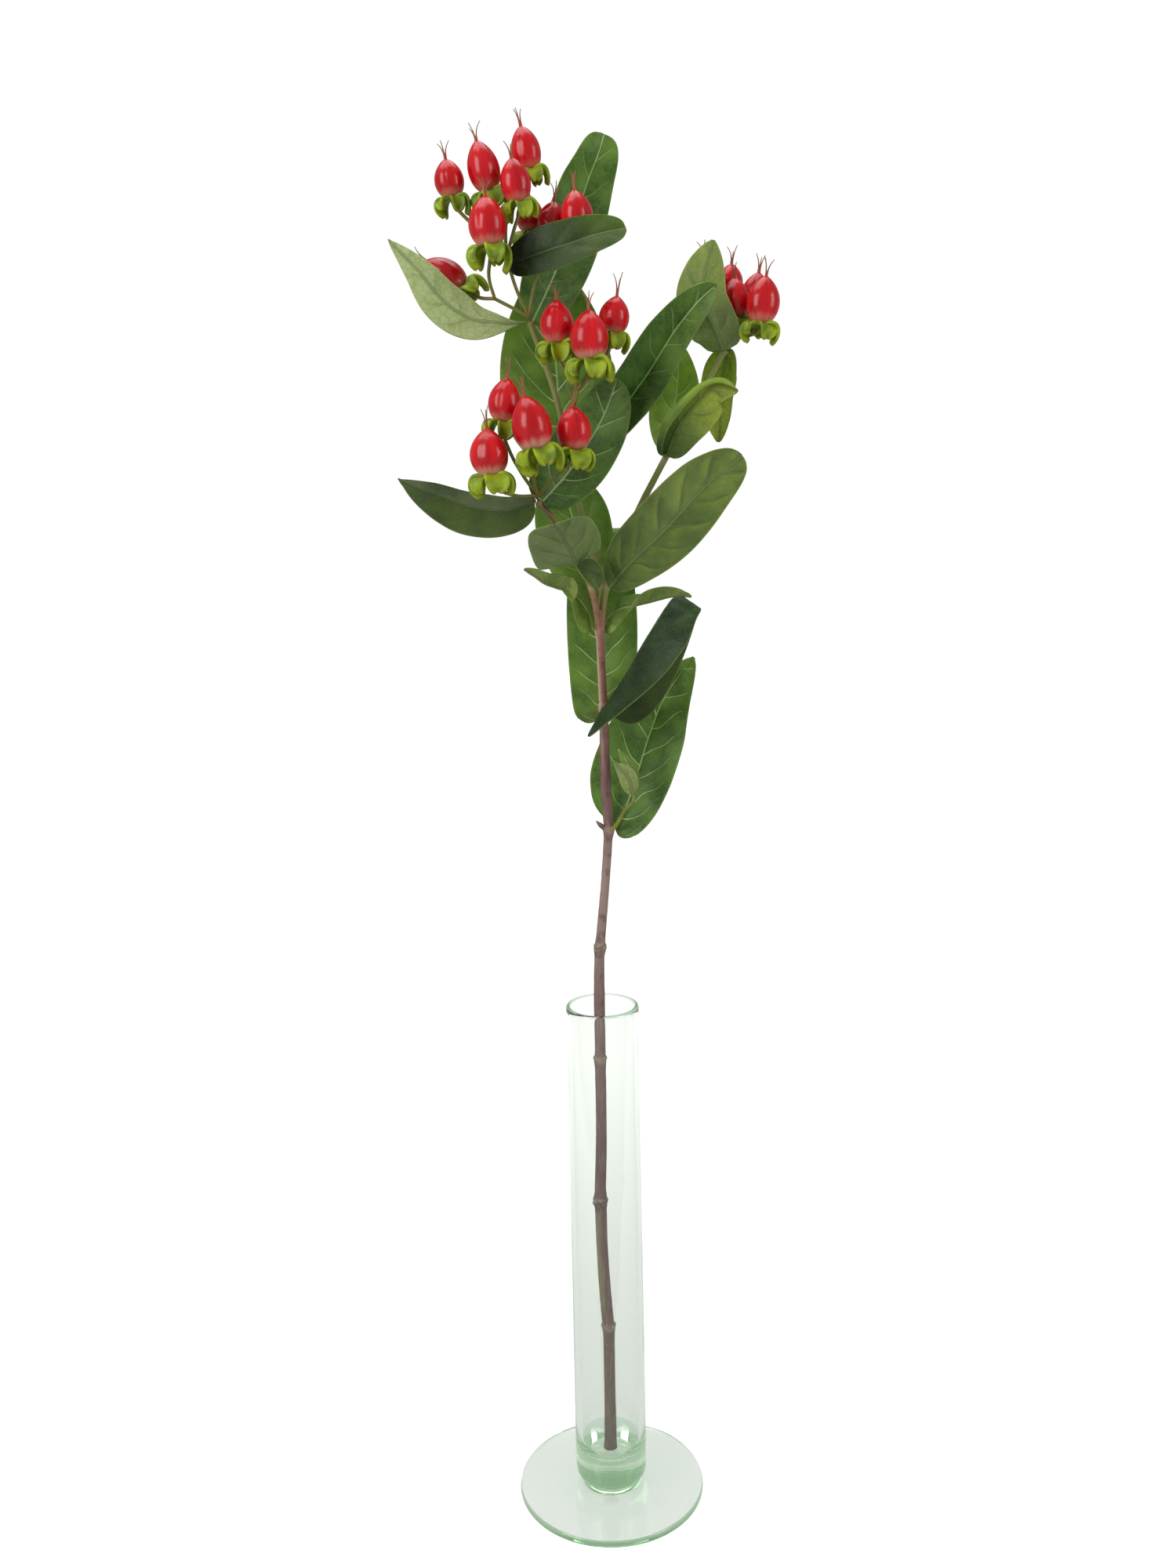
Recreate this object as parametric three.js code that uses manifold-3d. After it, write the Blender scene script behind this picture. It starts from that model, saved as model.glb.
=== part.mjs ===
import * as THREE from "three";
import Module from "manifold-3d";

const wasm = await Module();
wasm.setup();

// All lengths in millimetres, +Z up, the origin at the centre of the vase's flat underside.
const footRadius = 37;
const footThickness = 3;
const tubeRadius = 13.4;
const tubeWall = 1.9;
const vaseHeight = 204;
const vaseFloor = 16.2; // top of the thick glass base inside the tube
const vaseSides = 36;
const stemSides = 8;
const branchSides = 6;
const stalkRadius = 0.65;
const bladeThickness = 0.7;
const bladeRows = 8; // steps from the base of a blade to its tip
const halfSteps = [0, 0.55, 1]; // places across half a blade, midrib to margin
const rolledSteps = [0, 0.4, 0.75, 1]; // the same for a blade with a rolled margin
const shootRows = 5;
const berrySides = 9;
const berryRings = 6;
const styleRadius = 0.35;
const styleLength = 6;

const colours = {
  glass: 0xcfe0cf,
  stem: 0x7b5a4a,
  stalk: 0x8a9a3c,
  leaf: 0x3f6130,
  berry: 0xc4202e,
};

const group = new THREE.Group();
group.name = "hypericum_berry_stem";

function vec(p) {
  return new THREE.Vector3(p[0], p[1], p[2]);
}

// One closed solid from corner points and triangles, turned the right way out.
function solidFrom(points, triangles) {
  let volume = 0;
  for (const [a, b, c] of triangles) {
    const cross = points[b].clone().cross(points[c]);
    volume += points[a].dot(cross);
  }
  const order = volume < 0 ? [0, 2, 1] : [0, 1, 2];
  const flat = [];
  for (const t of triangles) {
    flat.push(t[order[0]], t[order[1]], t[order[2]]);
  }
  const coords = new Float32Array(points.length * 3);
  points.forEach((p, i) => coords.set([p.x, p.y, p.z], i * 3));
  const mesh = new wasm.Mesh({
    numProp: 3,
    vertProperties: coords,
    triVerts: new Uint32Array(flat),
  });
  return new wasm.Manifold(mesh);
}

// A closed skin over rings that all have the same number of points.
function skin(rings) {
  const sides = rings[0].length;
  const points = rings.flat();
  const triangles = [];
  for (let i = 0; i + 1 < rings.length; i++) {
    for (let j = 0; j < sides; j++) {
      const k = (j + 1) % sides;
      const a = i * sides + j;
      const b = i * sides + k;
      triangles.push([a, b, b + sides], [a, b + sides, a + sides]);
    }
  }
  const last = (rings.length - 1) * sides;
  for (let j = 1; j + 1 < sides; j++) {
    triangles.push([0, j + 1, j], [last, last + j, last + j + 1]);
  }
  return solidFrom(points, triangles);
}

function curveThrough(places) {
  return new THREE.CatmullRomCurve3(places.map(vec), false, "catmullrom", 0.5);
}

// A round branch through places given as [x, y, z, radius].
function branch(places, sides) {
  const centres = places.map(vec);
  const rings = [];
  let across = new THREE.Vector3(1, 0, 0);
  centres.forEach((centre, i) => {
    const from = centres[Math.max(i - 1, 0)];
    const to = centres[Math.min(i + 1, centres.length - 1)];
    const along = to.clone().sub(from).normalize();
    if (Math.abs(across.dot(along)) > 0.95) across.set(0, 1, 0);
    across.addScaledVector(along, -across.dot(along)).normalize();
    const third = along.clone().cross(across);
    const ring = [];
    for (let j = 0; j < sides; j++) {
      const angle = (2 * Math.PI * j) / sides;
      const out = across.clone().multiplyScalar(Math.cos(angle) * places[i][3]);
      out.addScaledVector(third, Math.sin(angle) * places[i][3]);
      ring.push(centre.clone().add(out));
    }
    rings.push(ring);
  });
  return skin(rings);
}

function united(solids) {
  return wasm.Manifold.union(solids);
}

function addNode(name, solid, colour, look) {
  const made = solid.getMesh();
  const width = made.numProp;
  const coords = new Float32Array(made.numVert * 3);
  for (let i = 0; i < made.numVert; i++) {
    coords.set(made.vertProperties.subarray(i * width, i * width + 3), i * 3);
  }
  const geometry = new THREE.BufferGeometry();
  geometry.setAttribute("position", new THREE.BufferAttribute(coords, 3));
  geometry.setIndex(new THREE.BufferAttribute(made.triVerts, 1));
  geometry.computeVertexNormals();
  const material = new THREE.MeshStandardMaterial({
    color: colour,
    roughness: 0.5,
    metalness: 0,
    ...look,
  });
  const mesh = new THREE.Mesh(geometry, material);
  mesh.name = name;
  group.add(mesh);
}

// ---- vase: a drawn tube with a thick base on a flat disc foot, one piece of glass ----
function vaseSolid() {
  const inner = tubeRadius - tubeWall;
  const outline = [
    [0, 0],
    [footRadius - 0.8, 0],
    [footRadius, 1],
    [footRadius - 0.1, 2.2],
    [footRadius - 1.2, footThickness],
    [22, footThickness + 0.4],
    [14, footThickness + 0.8],
    [11.7, footThickness + 1.5],
    [11.5, footThickness + 2.6],
    [12.7, footThickness + 3.8],
    [tubeRadius - 0.1, footThickness + 6],
    [tubeRadius, footThickness + 12],
    [tubeRadius + 0.1, 120],
    [tubeRadius, 190],
    [tubeRadius + 0.4, vaseHeight - 1],
    [tubeRadius - 0.6, vaseHeight],
    [inner + 0.6, vaseHeight - 0.3],
    [inner + 0.1, vaseHeight - 4],
    [inner, 120],
    [inner, vaseFloor + 8],
    [inner - 1, vaseFloor + 3.5],
    [inner - 3.5, vaseFloor + 1],
    [6, vaseFloor],
    [0, vaseFloor],
  ];
  const points = outline.map(([r, z]) => new THREE.Vector2(r, z));
  const lathe = new THREE.LatheGeometry(points, vaseSides);
  lathe.rotateX(Math.PI / 2);
  return lathe;
}

function addVase() {
  const material = new THREE.MeshStandardMaterial({
    color: colours.glass,
    roughness: 0.05,
    metalness: 0,
  });
  const mesh = new THREE.Mesh(vaseSolid(), material);
  mesh.name = "vase";
  group.add(mesh);
}

// ---- stem and its three branches; a swollen ring at each leaf node ----
const stemPlaces = [
  [-0.3, 0, 16.7, 2.7],
  [-0.2, 0.3, 21, 2.4],
  [0, 1, 40, 2.3],
  [0, 2, 66, 2.3],
  [0, 2.1, 69.3, 2.8],
  [-0.3, 2.2, 72, 2.3],
  [-2, 3, 105, 2.3],
  [-2.2, 4, 119, 2.3],
  [-2.3, 4.1, 122.3, 2.9],
  [-2.2, 4.3, 126, 2.2],
  [-1.3, 5.6, 150, 2.2],
  [-1.2, 7, 176, 2.2],
  [-1.2, 7.2, 179.5, 2.6],
  [-1.1, 7.5, 183, 2.1],
  [-1, 9, 204, 2.1],
  [-0.6, 10, 220, 1.9],
  [-0.3, 10.2, 223.7, 2.5],
  [0, 10.4, 227, 1.8],
  [2, 11.6, 247, 1.6],
  [3.6, 12, 266, 1.7],
  [3.9, 12, 269.5, 2.3],
  [3.8, 12, 272, 1.9],
  [3, 12, 290, 1.9],
  [2.8, 12, 313, 1.7],
  [2.7, 12, 316.5, 2.1],
  [2.6, 11.8, 319, 1.6],
  [2, 11.2, 342, 1.5],
  [1.9, 11, 345.3, 2],
  [2, 11, 347.5, 1.4],
];
const leftPlaces = [
  [2, 11, 345, 1.2],
  [-1, 5, 361, 1.15],
  [-4.5, 1, 369.5, 1.1],
  [-6, 0, 371.7, 1.5],
  [-7.5, -1.5, 374, 1],
  [-14, -8, 386, 0.95],
  [-18, -10, 390.5, 1],
  [-19, -10.3, 391.8, 1.4],
];
const middlePlaces = [
  [2.2, 11, 345, 1.3],
  [3, 12, 358.5, 1.2],
  [3, 12, 361, 1.6],
  [2.6, 11.9, 363.5, 1.1],
  [-5, 10, 392, 1.1],
  [-7.5, 9.1, 403.5, 1.1],
  [-8, 9, 406, 1.5],
  [-8.6, 8.7, 408.5, 1],
  [-11, 7.5, 424, 1],
  [-17, 5, 444, 1],
  [-20, 4.2, 452, 1],
  [-20.6, 4, 454, 1.4],
];
const rightPlaces = [
  [2.4, 11, 345, 1.2],
  [4.5, 9.5, 360, 1.2],
  [10, 7.5, 374, 1.15],
  [17, 6, 389, 1.15],
  [24, 5, 402, 1.1],
  [26.7, 5, 406.8, 1.1],
  [28, 5, 409, 1.6],
  [29.4, 5, 411.3, 1.05],
  [36, 5, 422, 1],
  [44, 4, 436, 0.95],
  [47, 2.6, 441.5, 1],
  [48, 2, 443, 1.4],
];

const budPlaces = [
  [3, 12, 269.4, 1.2],
  [0.4, 10.8, 272, 0.9],
  [-0.6, 10.3, 273.6, 0.4],
];

function addStem() {
  const parts = [branch(stemPlaces, stemSides), branch(budPlaces, 4)];
  for (const places of [leftPlaces, middlePlaces, rightPlaces]) {
    parts.push(branch(places, branchSides));
  }
  addNode("stem", united(parts), colours.stem, { roughness: 0.6 });
}

// ---- leaves ----
// rib: places along the midrib, base to tip. width: across the open blade. side: where the
// right half points at the base and at the tip. fold and curl: degrees that the left and the
// right half rise towards the upper face at the midrib, and again by the margin; tipFold is
// the fold at the tip. lobe: how far each half reaches back round the stem, in a round lobe
// or a pointed one. wider: how many times wider each half is at the base. base and tip: how
// fast the outline widens from each end, less being blunter.
const leaves = {
  leaf_low_right: {
    rib: [
      [7.2, 13.8, 270.5], [12, 18, 280], [16, 21.5, 291], [20, 22.5, 303],
      [25, 21.5, 316], [31, 19, 326], [37, 15, 334],
    ],
    width: 31, side: [[0.9, -0.2, -0.3], [0.8, -0.4, -0.3]], fold: [5, 20], tipFold: [60, 10],
    curl: [0, 0], lobe: [-8, 10], wider: [1.4, 1], base: 0.35, tip: 0.65,
  },
  leaf_second_back: {
    rib: [[3, 14.8, 317], [3, 22, 331], [3, 26, 348], [3, 26, 366], [4, 22, 379], [5, 29, 382]],
    width: 27, side: [[1, 0, 0], [1, 0, 0]], fold: [8, 8], curl: [0, 0], lobe: [10, 8],
    base: 0.1, tip: 0.4,
  },
  leaf_second_front: {
    rib: [[3, 9, 317], [12, 0, 332], [20, -8, 346], [27, -14, 357], [31, -6, 358]],
    width: 31, side: [[0.1, -0.95, 0.2], [0.85, -0.2, -0.5]], fold: [-100, 0], tipFold: [-155, 0],
    curl: [0, 0], lobe: [2, 20], pointed: true, wider: [1.3, 1], base: 0.3, tip: 0.3,
  },
  leaf_third_left: {
    rib: [
      [-0.9, 12.8, 345.6], [-1.9, 13.4, 351], [-4.4, 12, 355.4], [-8.5, 11, 359.4],
      [-13, 8, 361.2], [-17.6, 4.5, 363], [-21.4, 2, 365.8], [-25, 0, 368.2],
    ],
    width: 11.6, side: [[1.2, 0.8, 0.5], [-0.2, 0.6, -1.4]], fold: [0, 0], tipFold: [0, 110],
    curl: [0, 0], lobe: [2, 0], wider: [1.5, 0.3], base: 0.3, tip: 0.6,
  },
  leaf_third_right: {
    rib: [
      [3.4, 13.2, 345.6], [5.2, 14.2, 349.6], [9.5, 14.5, 352.6], [15, 12, 354],
      [21, 9, 355.4], [26.5, 5.5, 357], [31, 2.5, 357.6], [35, 0, 357.3],
    ],
    width: 12, side: [[1.2, -0.8, -0.9], [-0.2, -0.6, 1.4]], fold: [0, 0], tipFold: [110, 0],
    curl: [0, 0], lobe: [0, 2], wider: [0.3, 1.2], base: 0.3, tip: 0.6,
  },
  leaf_fourth_back: {
    rib: [[2.5, 14.3, 361.5], [-2, 18, 370], [-8, 20, 389], [-11, 19, 405]],
    width: 30.6, side: [[1, -0.2, 0.3], [1, 0, 0.2]], fold: [5, 5], curl: [0, 0], lobe: [4, 3],
    wider: [0.9, 0.6], base: 0.08, tip: 0.6,
  },
  leaf_fourth_front: {
    rib: [[6.4, 7, 361.4], [13.8, -3, 370.4], [25.8, -10, 381.6], [39.5, -12, 396], [52.5, -8, 406]],
    width: 26, side: [[-0.6, 0.2, 0.7], [-0.7, 0, 0.7]], fold: [5, 5], curl: [0, 10],
    lobe: [0, 0], wider: [0.65, 0.9], base: 0.45, tip: 0.35,
  },
  leaf_small_right: {
    rib: [[-4.2, -1.6, 369.6], [-2, -3.2, 367.4], [0.2, -3.6, 364.6], [1.8, -2.8, 361.4]],
    width: 9, side: [[0.75, -0.1, 0.6], [0.9, -0.2, 0.3]], fold: [-60, 0], curl: [0, 0],
    lobe: [0, 0], base: 0.4, tip: 0.5,
  },
  leaf_left_front: {
    rib: [
      [-6.6, -2.3, 371], [-8.3, -8, 375], [-10, -14, 378.4], [-11.6, -20, 381.6],
      [-13, -25.5, 383.8],
    ],
    width: 25, side: [[-1, -0.1, -0.2], [-1, 0, -0.2]], fold: [5, 5], curl: [10, 10],
    lobe: [0, 0], wider: [0.9, 1.25], base: 0.08, tip: 0.25,
  },
  leaf_left_far: {
    rib: [[-21, -11.5, 391.5], [-30, -13, 389], [-43, -14, 390.5], [-56, -16, 395.5], [-67, -14, 400.5]],
    width: 20, side: [[-0.1, -0.3, -0.9], [0, -0.3, -0.9]], fold: [40, 5], curl: [0, 0],
    lobe: [3, -2], base: 0.4, tip: 0.9,
  },
  leaf_left_near: {
    rib: [[-17, -10, 392.3], [-9, -4, 401], [-1.5, -2, 411], [5, -2, 422], [9.5, -4, 433]],
    width: 24, side: [[0.7, -0.2, -0.6], [0.8, 0, -0.4]], fold: [10, 10], curl: [0, 0],
    lobe: [3, 3], base: 0.35, tip: 0.4,
  },
  leaf_middle_back: {
    rib: [[-8, 11.3, 407], [-11, 20, 420], [-12, 25, 438], [-13, 27, 460], [-14, 26, 478]],
    width: 42, side: [[1, 0, 0], [1, 0, 0]], fold: [8, 8], curl: [0, 0], lobe: [5, 5],
    base: 0.4, tip: 0.6,
  },
  leaf_middle_right: {
    rib: [[-5.7, 8, 407], [7, 8, 419], [20, 5, 435], [29, -3, 448], [36, -12, 456], [43, -17, 462]],
    width: 21, side: [[0.6, 0, -0.7], [0.6, 0, -0.7]], fold: [35, 55], tipFold: [20, 20],
    curl: [0, 0], lobe: [3, 3], wider: [0.85, 1.1], base: 0.5, tip: 0.45,
  },
  leaf_top_back: {
    rib: [
      [-19.5, 6.5, 455], [-12, 18.8, 472], [-4.5, 23.8, 490], [0.5, 23.6, 504], [4.6, 21, 513],
      [7, 20, 519.4],
    ],
    width: 23, side: [[0.9, 0.2, -0.3], [1, 0.2, 0]], fold: [12, 8], curl: [0, 0], lobe: [3, 3],
    base: 0.45, tip: 0.26,
  },
  leaf_top_left: {
    rib: [
      [-22.5, 2.5, 453.3], [-31, -3, 453], [-41, -7, 454], [-50, -9, 460], [-58, -8, 470],
      [-68, -4, 481],
    ],
    width: 17, side: [[-0.1, -0.7, -0.7], [-0.7, 0, -0.7]], fold: [10, 10], curl: [0, 0],
    lobe: [0, 0], wider: [1.1, 0.8], base: 2, tip: 0.8,
  },
  leaf_top_bract: {
    rib: [[-26, -3, 472.5], [-16, -7, 475], [-7, -10, 477], [3, -10, 480], [13, -9, 482]],
    width: 17, side: [[0.1, -0.2, -0.9], [0.1, -0.4, -0.9]], fold: [10, 10], curl: [0, 0],
    lobe: [1, 1], base: 0.4, tip: 0.35,
  },
  leaf_right_back: {
    rib: [[29, 7.2, 409.8], [30, 15, 421], [32, 18, 433], [33, 18, 448]],
    width: 18, side: [[1, 0, 0], [1, 0, 0]], fold: [10, 10], curl: [0, 0], lobe: [3, 3],
    base: 0.35, tip: 0.7,
  },
  leaf_right_front: {
    rib: [[27.5, 2.6, 408.5], [31, -4, 417], [37, -8, 424], [43, -10, 429], [51, -10, 428]],
    width: 20, side: [[-0.7, 0, 0.6], [-0.4, 0, 0.8]], fold: [0, 0], curl: [0, -230],
    lobe: [3, 3], wider: [0.8, 1.15], base: 0.4, tip: 0.7,
  },
  leaf_far_droop: {
    rib: [[49, 4, 443], [48, 10, 437], [47, 12, 427], [47, 11, 419], [46, 9, 412]],
    width: 15, side: [[1, 0, 0], [1, 0, 0]], fold: [0, -30], curl: [0, -80], lobe: [2, 2],
    base: 0.4, tip: 0.6,
  },
  leaf_far_front: {
    rib: [[46.6, -0.4, 443.5], [44, -6, 448], [39, -8, 458], [40, -8, 468], [43, -6, 478]],
    width: 18, side: [[-1, 0, 0], [-1, 0, 0]], fold: [10, 10], curl: [0, 0], lobe: [2, 2],
    base: 0.25, tip: 0.6,
  },
};

// Share of the full half width at distance t along the midrib.
function bladeOutline(t, leaf) {
  const power = leaf.base + (leaf.tip - leaf.base) * t;
  return Math.max(0, Math.sin(Math.PI * t ** 0.82)) ** power;
}

function bladeGrid(leaf, rowCount, steps) {
  const curve = curveThrough(leaf.rib);
  const degree = Math.PI / 180;
  const rows = [];
  for (let i = 0; i <= rowCount; i++) {
    const t = 0.5 - 0.5 * Math.cos((Math.PI * i) / rowCount);
    const centre = curve.getPointAt(t);
    const along = curve.getTangentAt(t);
    const right = vec(leaf.side[0]).lerp(vec(leaf.side[1]), t);
    right.addScaledVector(along, -right.dot(along)).normalize();
    const up = right.clone().cross(along);
    const share = bladeOutline(t, leaf);
    const back = share * Math.max(0, 1 - t / 0.4) ** 2;
    const tipFold = leaf.tipFold || leaf.fold;
    const halves = [0, 1].map((h) => {
      const wider = leaf.wider ? 1 + (leaf.wider[h] - 1) * (1 - t) ** 2 : 1;
      const reach = Math.max((leaf.width / 2) * share * wider, 0.5);
      const points = [];
      let out = 0;
      let lift = 0;
      for (let k = 1; k < steps.length; k++) {
        const step = steps[k] - steps[k - 1];
        const middle = (steps[k] + steps[k - 1]) / 2;
        const fold = leaf.fold[h] + (tipFold[h] - leaf.fold[h]) * t;
        const angle = (fold + leaf.curl[h] * middle * middle) * degree;
        out += step * Math.cos(angle) * reach;
        lift += step * Math.sin(angle) * reach;
        const place = centre.clone();
        place.addScaledVector(right, h ? out : -out);
        place.addScaledVector(up, lift);
        const round = Math.sin(0.75 * Math.PI * steps[k] ** 0.8);
        const hang = leaf.pointed ? steps[k] ** 1.5 : round;
        place.addScaledVector(along, -back * leaf.lobe[h] * hang);
        points.push(place);
      }
      return points;
    });
    rows.push([...halves[0].reverse(), centre, ...halves[1]]);
  }
  return rows;
}

// Both faces of a blade, split into triangles alike, joined round the margin.
function bladeSolid(rows, thickness) {
  const n = rows.length;
  const m = rows[0].length;
  const upper = [];
  const lower = [];
  for (let i = 0; i < n; i++) {
    for (let j = 0; j < m; j++) {
      const alongA = rows[Math.min(i + 1, n - 1)][j];
      const along = alongA.clone().sub(rows[Math.max(i - 1, 0)][j]);
      const acrossA = rows[i][Math.min(j + 1, m - 1)];
      const across = acrossA.clone().sub(rows[i][Math.max(j - 1, 0)]);
      const normal = across.cross(along).normalize();
      upper.push(rows[i][j].clone().addScaledVector(normal, thickness / 2));
      lower.push(rows[i][j].clone().addScaledVector(normal, -thickness / 2));
    }
  }
  const triangles = [];
  const off = n * m;
  for (let i = 0; i + 1 < n; i++) {
    for (let j = 0; j + 1 < m; j++) {
      const a = i * m + j;
      const b = a + 1;
      const c = a + m;
      const d = c + 1;
      triangles.push([a, b, d], [a, d, c]);
      triangles.push([off + a, off + d, off + b], [off + a, off + c, off + d]);
    }
  }
  const edge = [];
  for (let j = 0; j < m; j++) edge.push(j);
  for (let i = 1; i < n; i++) edge.push(i * m + m - 1);
  for (let j = m - 2; j >= 0; j--) edge.push((n - 1) * m + j);
  for (let i = n - 2; i > 0; i--) edge.push(i * m);
  edge.forEach((a, k) => {
    const b = edge[(k + 1) % edge.length];
    triangles.push([a, off + a, off + b], [a, off + b, b]);
  });
  return solidFrom([...upper, ...lower], triangles);
}

// A short side shoot at the lowest leaf node, with its first two small leaves.
const shoot = {
  stalk: [[6.5, 9.6, 271.4, 0.8], [10, 6, 278, 0.7], [13, 3, 282, 0.7], [13, 2.4, 286, 0.6]],
  blades: [
    {
      rib: [[13, 2.4, 285], [11, -1, 292], [6, -2, 298]],
      width: 7, side: [[-0.7, 0, -0.6], [-0.7, 0, -0.6]], fold: [10, 10], curl: [0, 0],
      lobe: [0, 0], base: 0.6, tip: 0.9,
    },
    {
      rib: [[13, 2.6, 285], [12.4, 6, 293], [8, 8, 301]],
      width: 6, side: [[0.7, 0, 0.3], [0.7, 0, 0.3]], fold: [10, 10], curl: [0, 0],
      lobe: [0, 0], base: 0.6, tip: 0.9,
    },
  ],
};

function addShoot() {
  const blades = shoot.blades.map((leaf) => {
    return bladeSolid(bladeGrid(leaf, shootRows, halfSteps), bladeThickness);
  });
  addNode("side_shoot", united([branch(shoot.stalk, 5), ...blades]), colours.leaf, {});
}

function addLeaves() {
  for (const [name, leaf] of Object.entries(leaves)) {
    const rolled = Math.abs(leaf.curl[0]) + Math.abs(leaf.curl[1]) > 60;
    const rows = bladeGrid(leaf, bladeRows, rolled ? rolledSteps : halfSteps);
    addNode(name, bladeSolid(rows, bladeThickness), colours.leaf, { roughness: 0.45 });
  }
}

// ---- berries: base, tip and greatest width ----
const berries = {
  berry_01: { base: [-46, 2, 495], tip: [-48, 2, 508], width: 10.2 },
  berry_02: { base: [-33, -1, 496], tip: [-37, -1, 513], width: 11 },
  berry_03: { base: [-19, 5.2, 504], tip: [-22, 5.2, 519], width: 10.2 },
  berry_04: { base: [-23, -6, 491], tip: [-25, -6, 506], width: 10.4 },
  berry_05: { base: [-33, -11, 476], tip: [-34, -11, 493], width: 12.8 },
  berry_06: { base: [-20, 11.8, 485], tip: [-20, 11.8, 498], width: 9.6 },
  berry_07: { base: [-13, 4, 482], tip: [-11, 4, 494], width: 10 },
  berry_08: { base: [-3, -3, 481], tip: [-4, -3, 496], width: 11.2 },
  berry_09: { base: [-43, 5, 465.5], tip: [-56.5, 5, 475.5], width: 11.2 },
  berry_10: { base: [-11, -5, 445], tip: [-11, -5, 460], width: 11.6 },
  berry_11: { base: [0, -15, 438], tip: [0, -15, 455], width: 13.2 },
  berry_12: { base: [8, -4, 448], tip: [10, -4, 461], width: 10.6 },
  berry_13: { base: [-30, -18, 418], tip: [-28, -18, 433], width: 11.2 },
  berry_14: { base: [-18, -30, 408], tip: [-22, -30, 426], width: 13.2 },
  berry_15: { base: [-34, -26, 400], tip: [-35, -26, 416], width: 13 },
  berry_16: { base: [-6, -22, 408], tip: [-6, -22, 423], width: 12 },
  berry_17: { base: [50, 14, 462], tip: [51.5, 14, 474], width: 9.6 },
  berry_18: { base: [52, 1, 453], tip: [51, 1, 467], width: 10 },
  berry_19: { base: [58.5, 9, 457], tip: [60.5, 9, 470], width: 10 },
  berry_20: { base: [59, -7, 450], tip: [61, -7, 466], width: 11.4 },
  berry_21: { base: [42, 6, 463], tip: [41, 6, 475], width: 9.4 },
};

function frameOf(axis) {
  const across = new THREE.Vector3(1, 0, 0);
  across.addScaledVector(axis, -across.dot(axis)).normalize();
  return [across, axis.clone().cross(across)];
}

// An egg with three shallow seams and, at its tip, three hair-like styles.
function berrySolid(berry) {
  const base = vec(berry.base);
  const tip = vec(berry.tip);
  const length = tip.distanceTo(base);
  const axis = tip.clone().sub(base).normalize();
  const [across, third] = frameOf(axis);
  const rings = [];
  for (let i = 0; i <= berryRings; i++) {
    const s = 0.5 - 0.5 * Math.cos((Math.PI * (i + 0.35)) / (berryRings + 0.7));
    const round = Math.sin(Math.PI * s ** 0.87) ** (0.52 + 0.1 * s);
    const ring = [];
    for (let j = 0; j < berrySides; j++) {
      const angle = (2 * Math.PI * j) / berrySides;
      const seam = j % (berrySides / 3) ? 1 : 0.94;
      const r = (berry.width / 2) * round * seam;
      const place = base.clone().addScaledVector(axis, s * length);
      place.addScaledVector(across, Math.cos(angle) * r);
      place.addScaledVector(third, Math.sin(angle) * r);
      ring.push(place);
    }
    rings.push(ring);
  }
  const parts = [skin(rings)];
  for (let k = 0; k < 3; k++) {
    const angle = (2 * Math.PI * (k + 0.3)) / 3;
    const out = across.clone().multiplyScalar(Math.cos(angle));
    out.addScaledVector(third, Math.sin(angle));
    const places = [
      [-0.8, 0.25],
      [styleLength, 1.7],
    ].map(([up, away]) => {
      const p = tip.clone().addScaledVector(axis, up);
      p.addScaledVector(out, away);
      return [p.x, p.y, p.z, styleRadius];
    });
    parts.push(branch(places, 3));
  }
  return united(parts);
}

function addBerries() {
  for (const [name, berry] of Object.entries(berries)) {
    addNode(name, berrySolid(berry), colours.berry, { roughness: 0.2 });
  }
}

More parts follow.
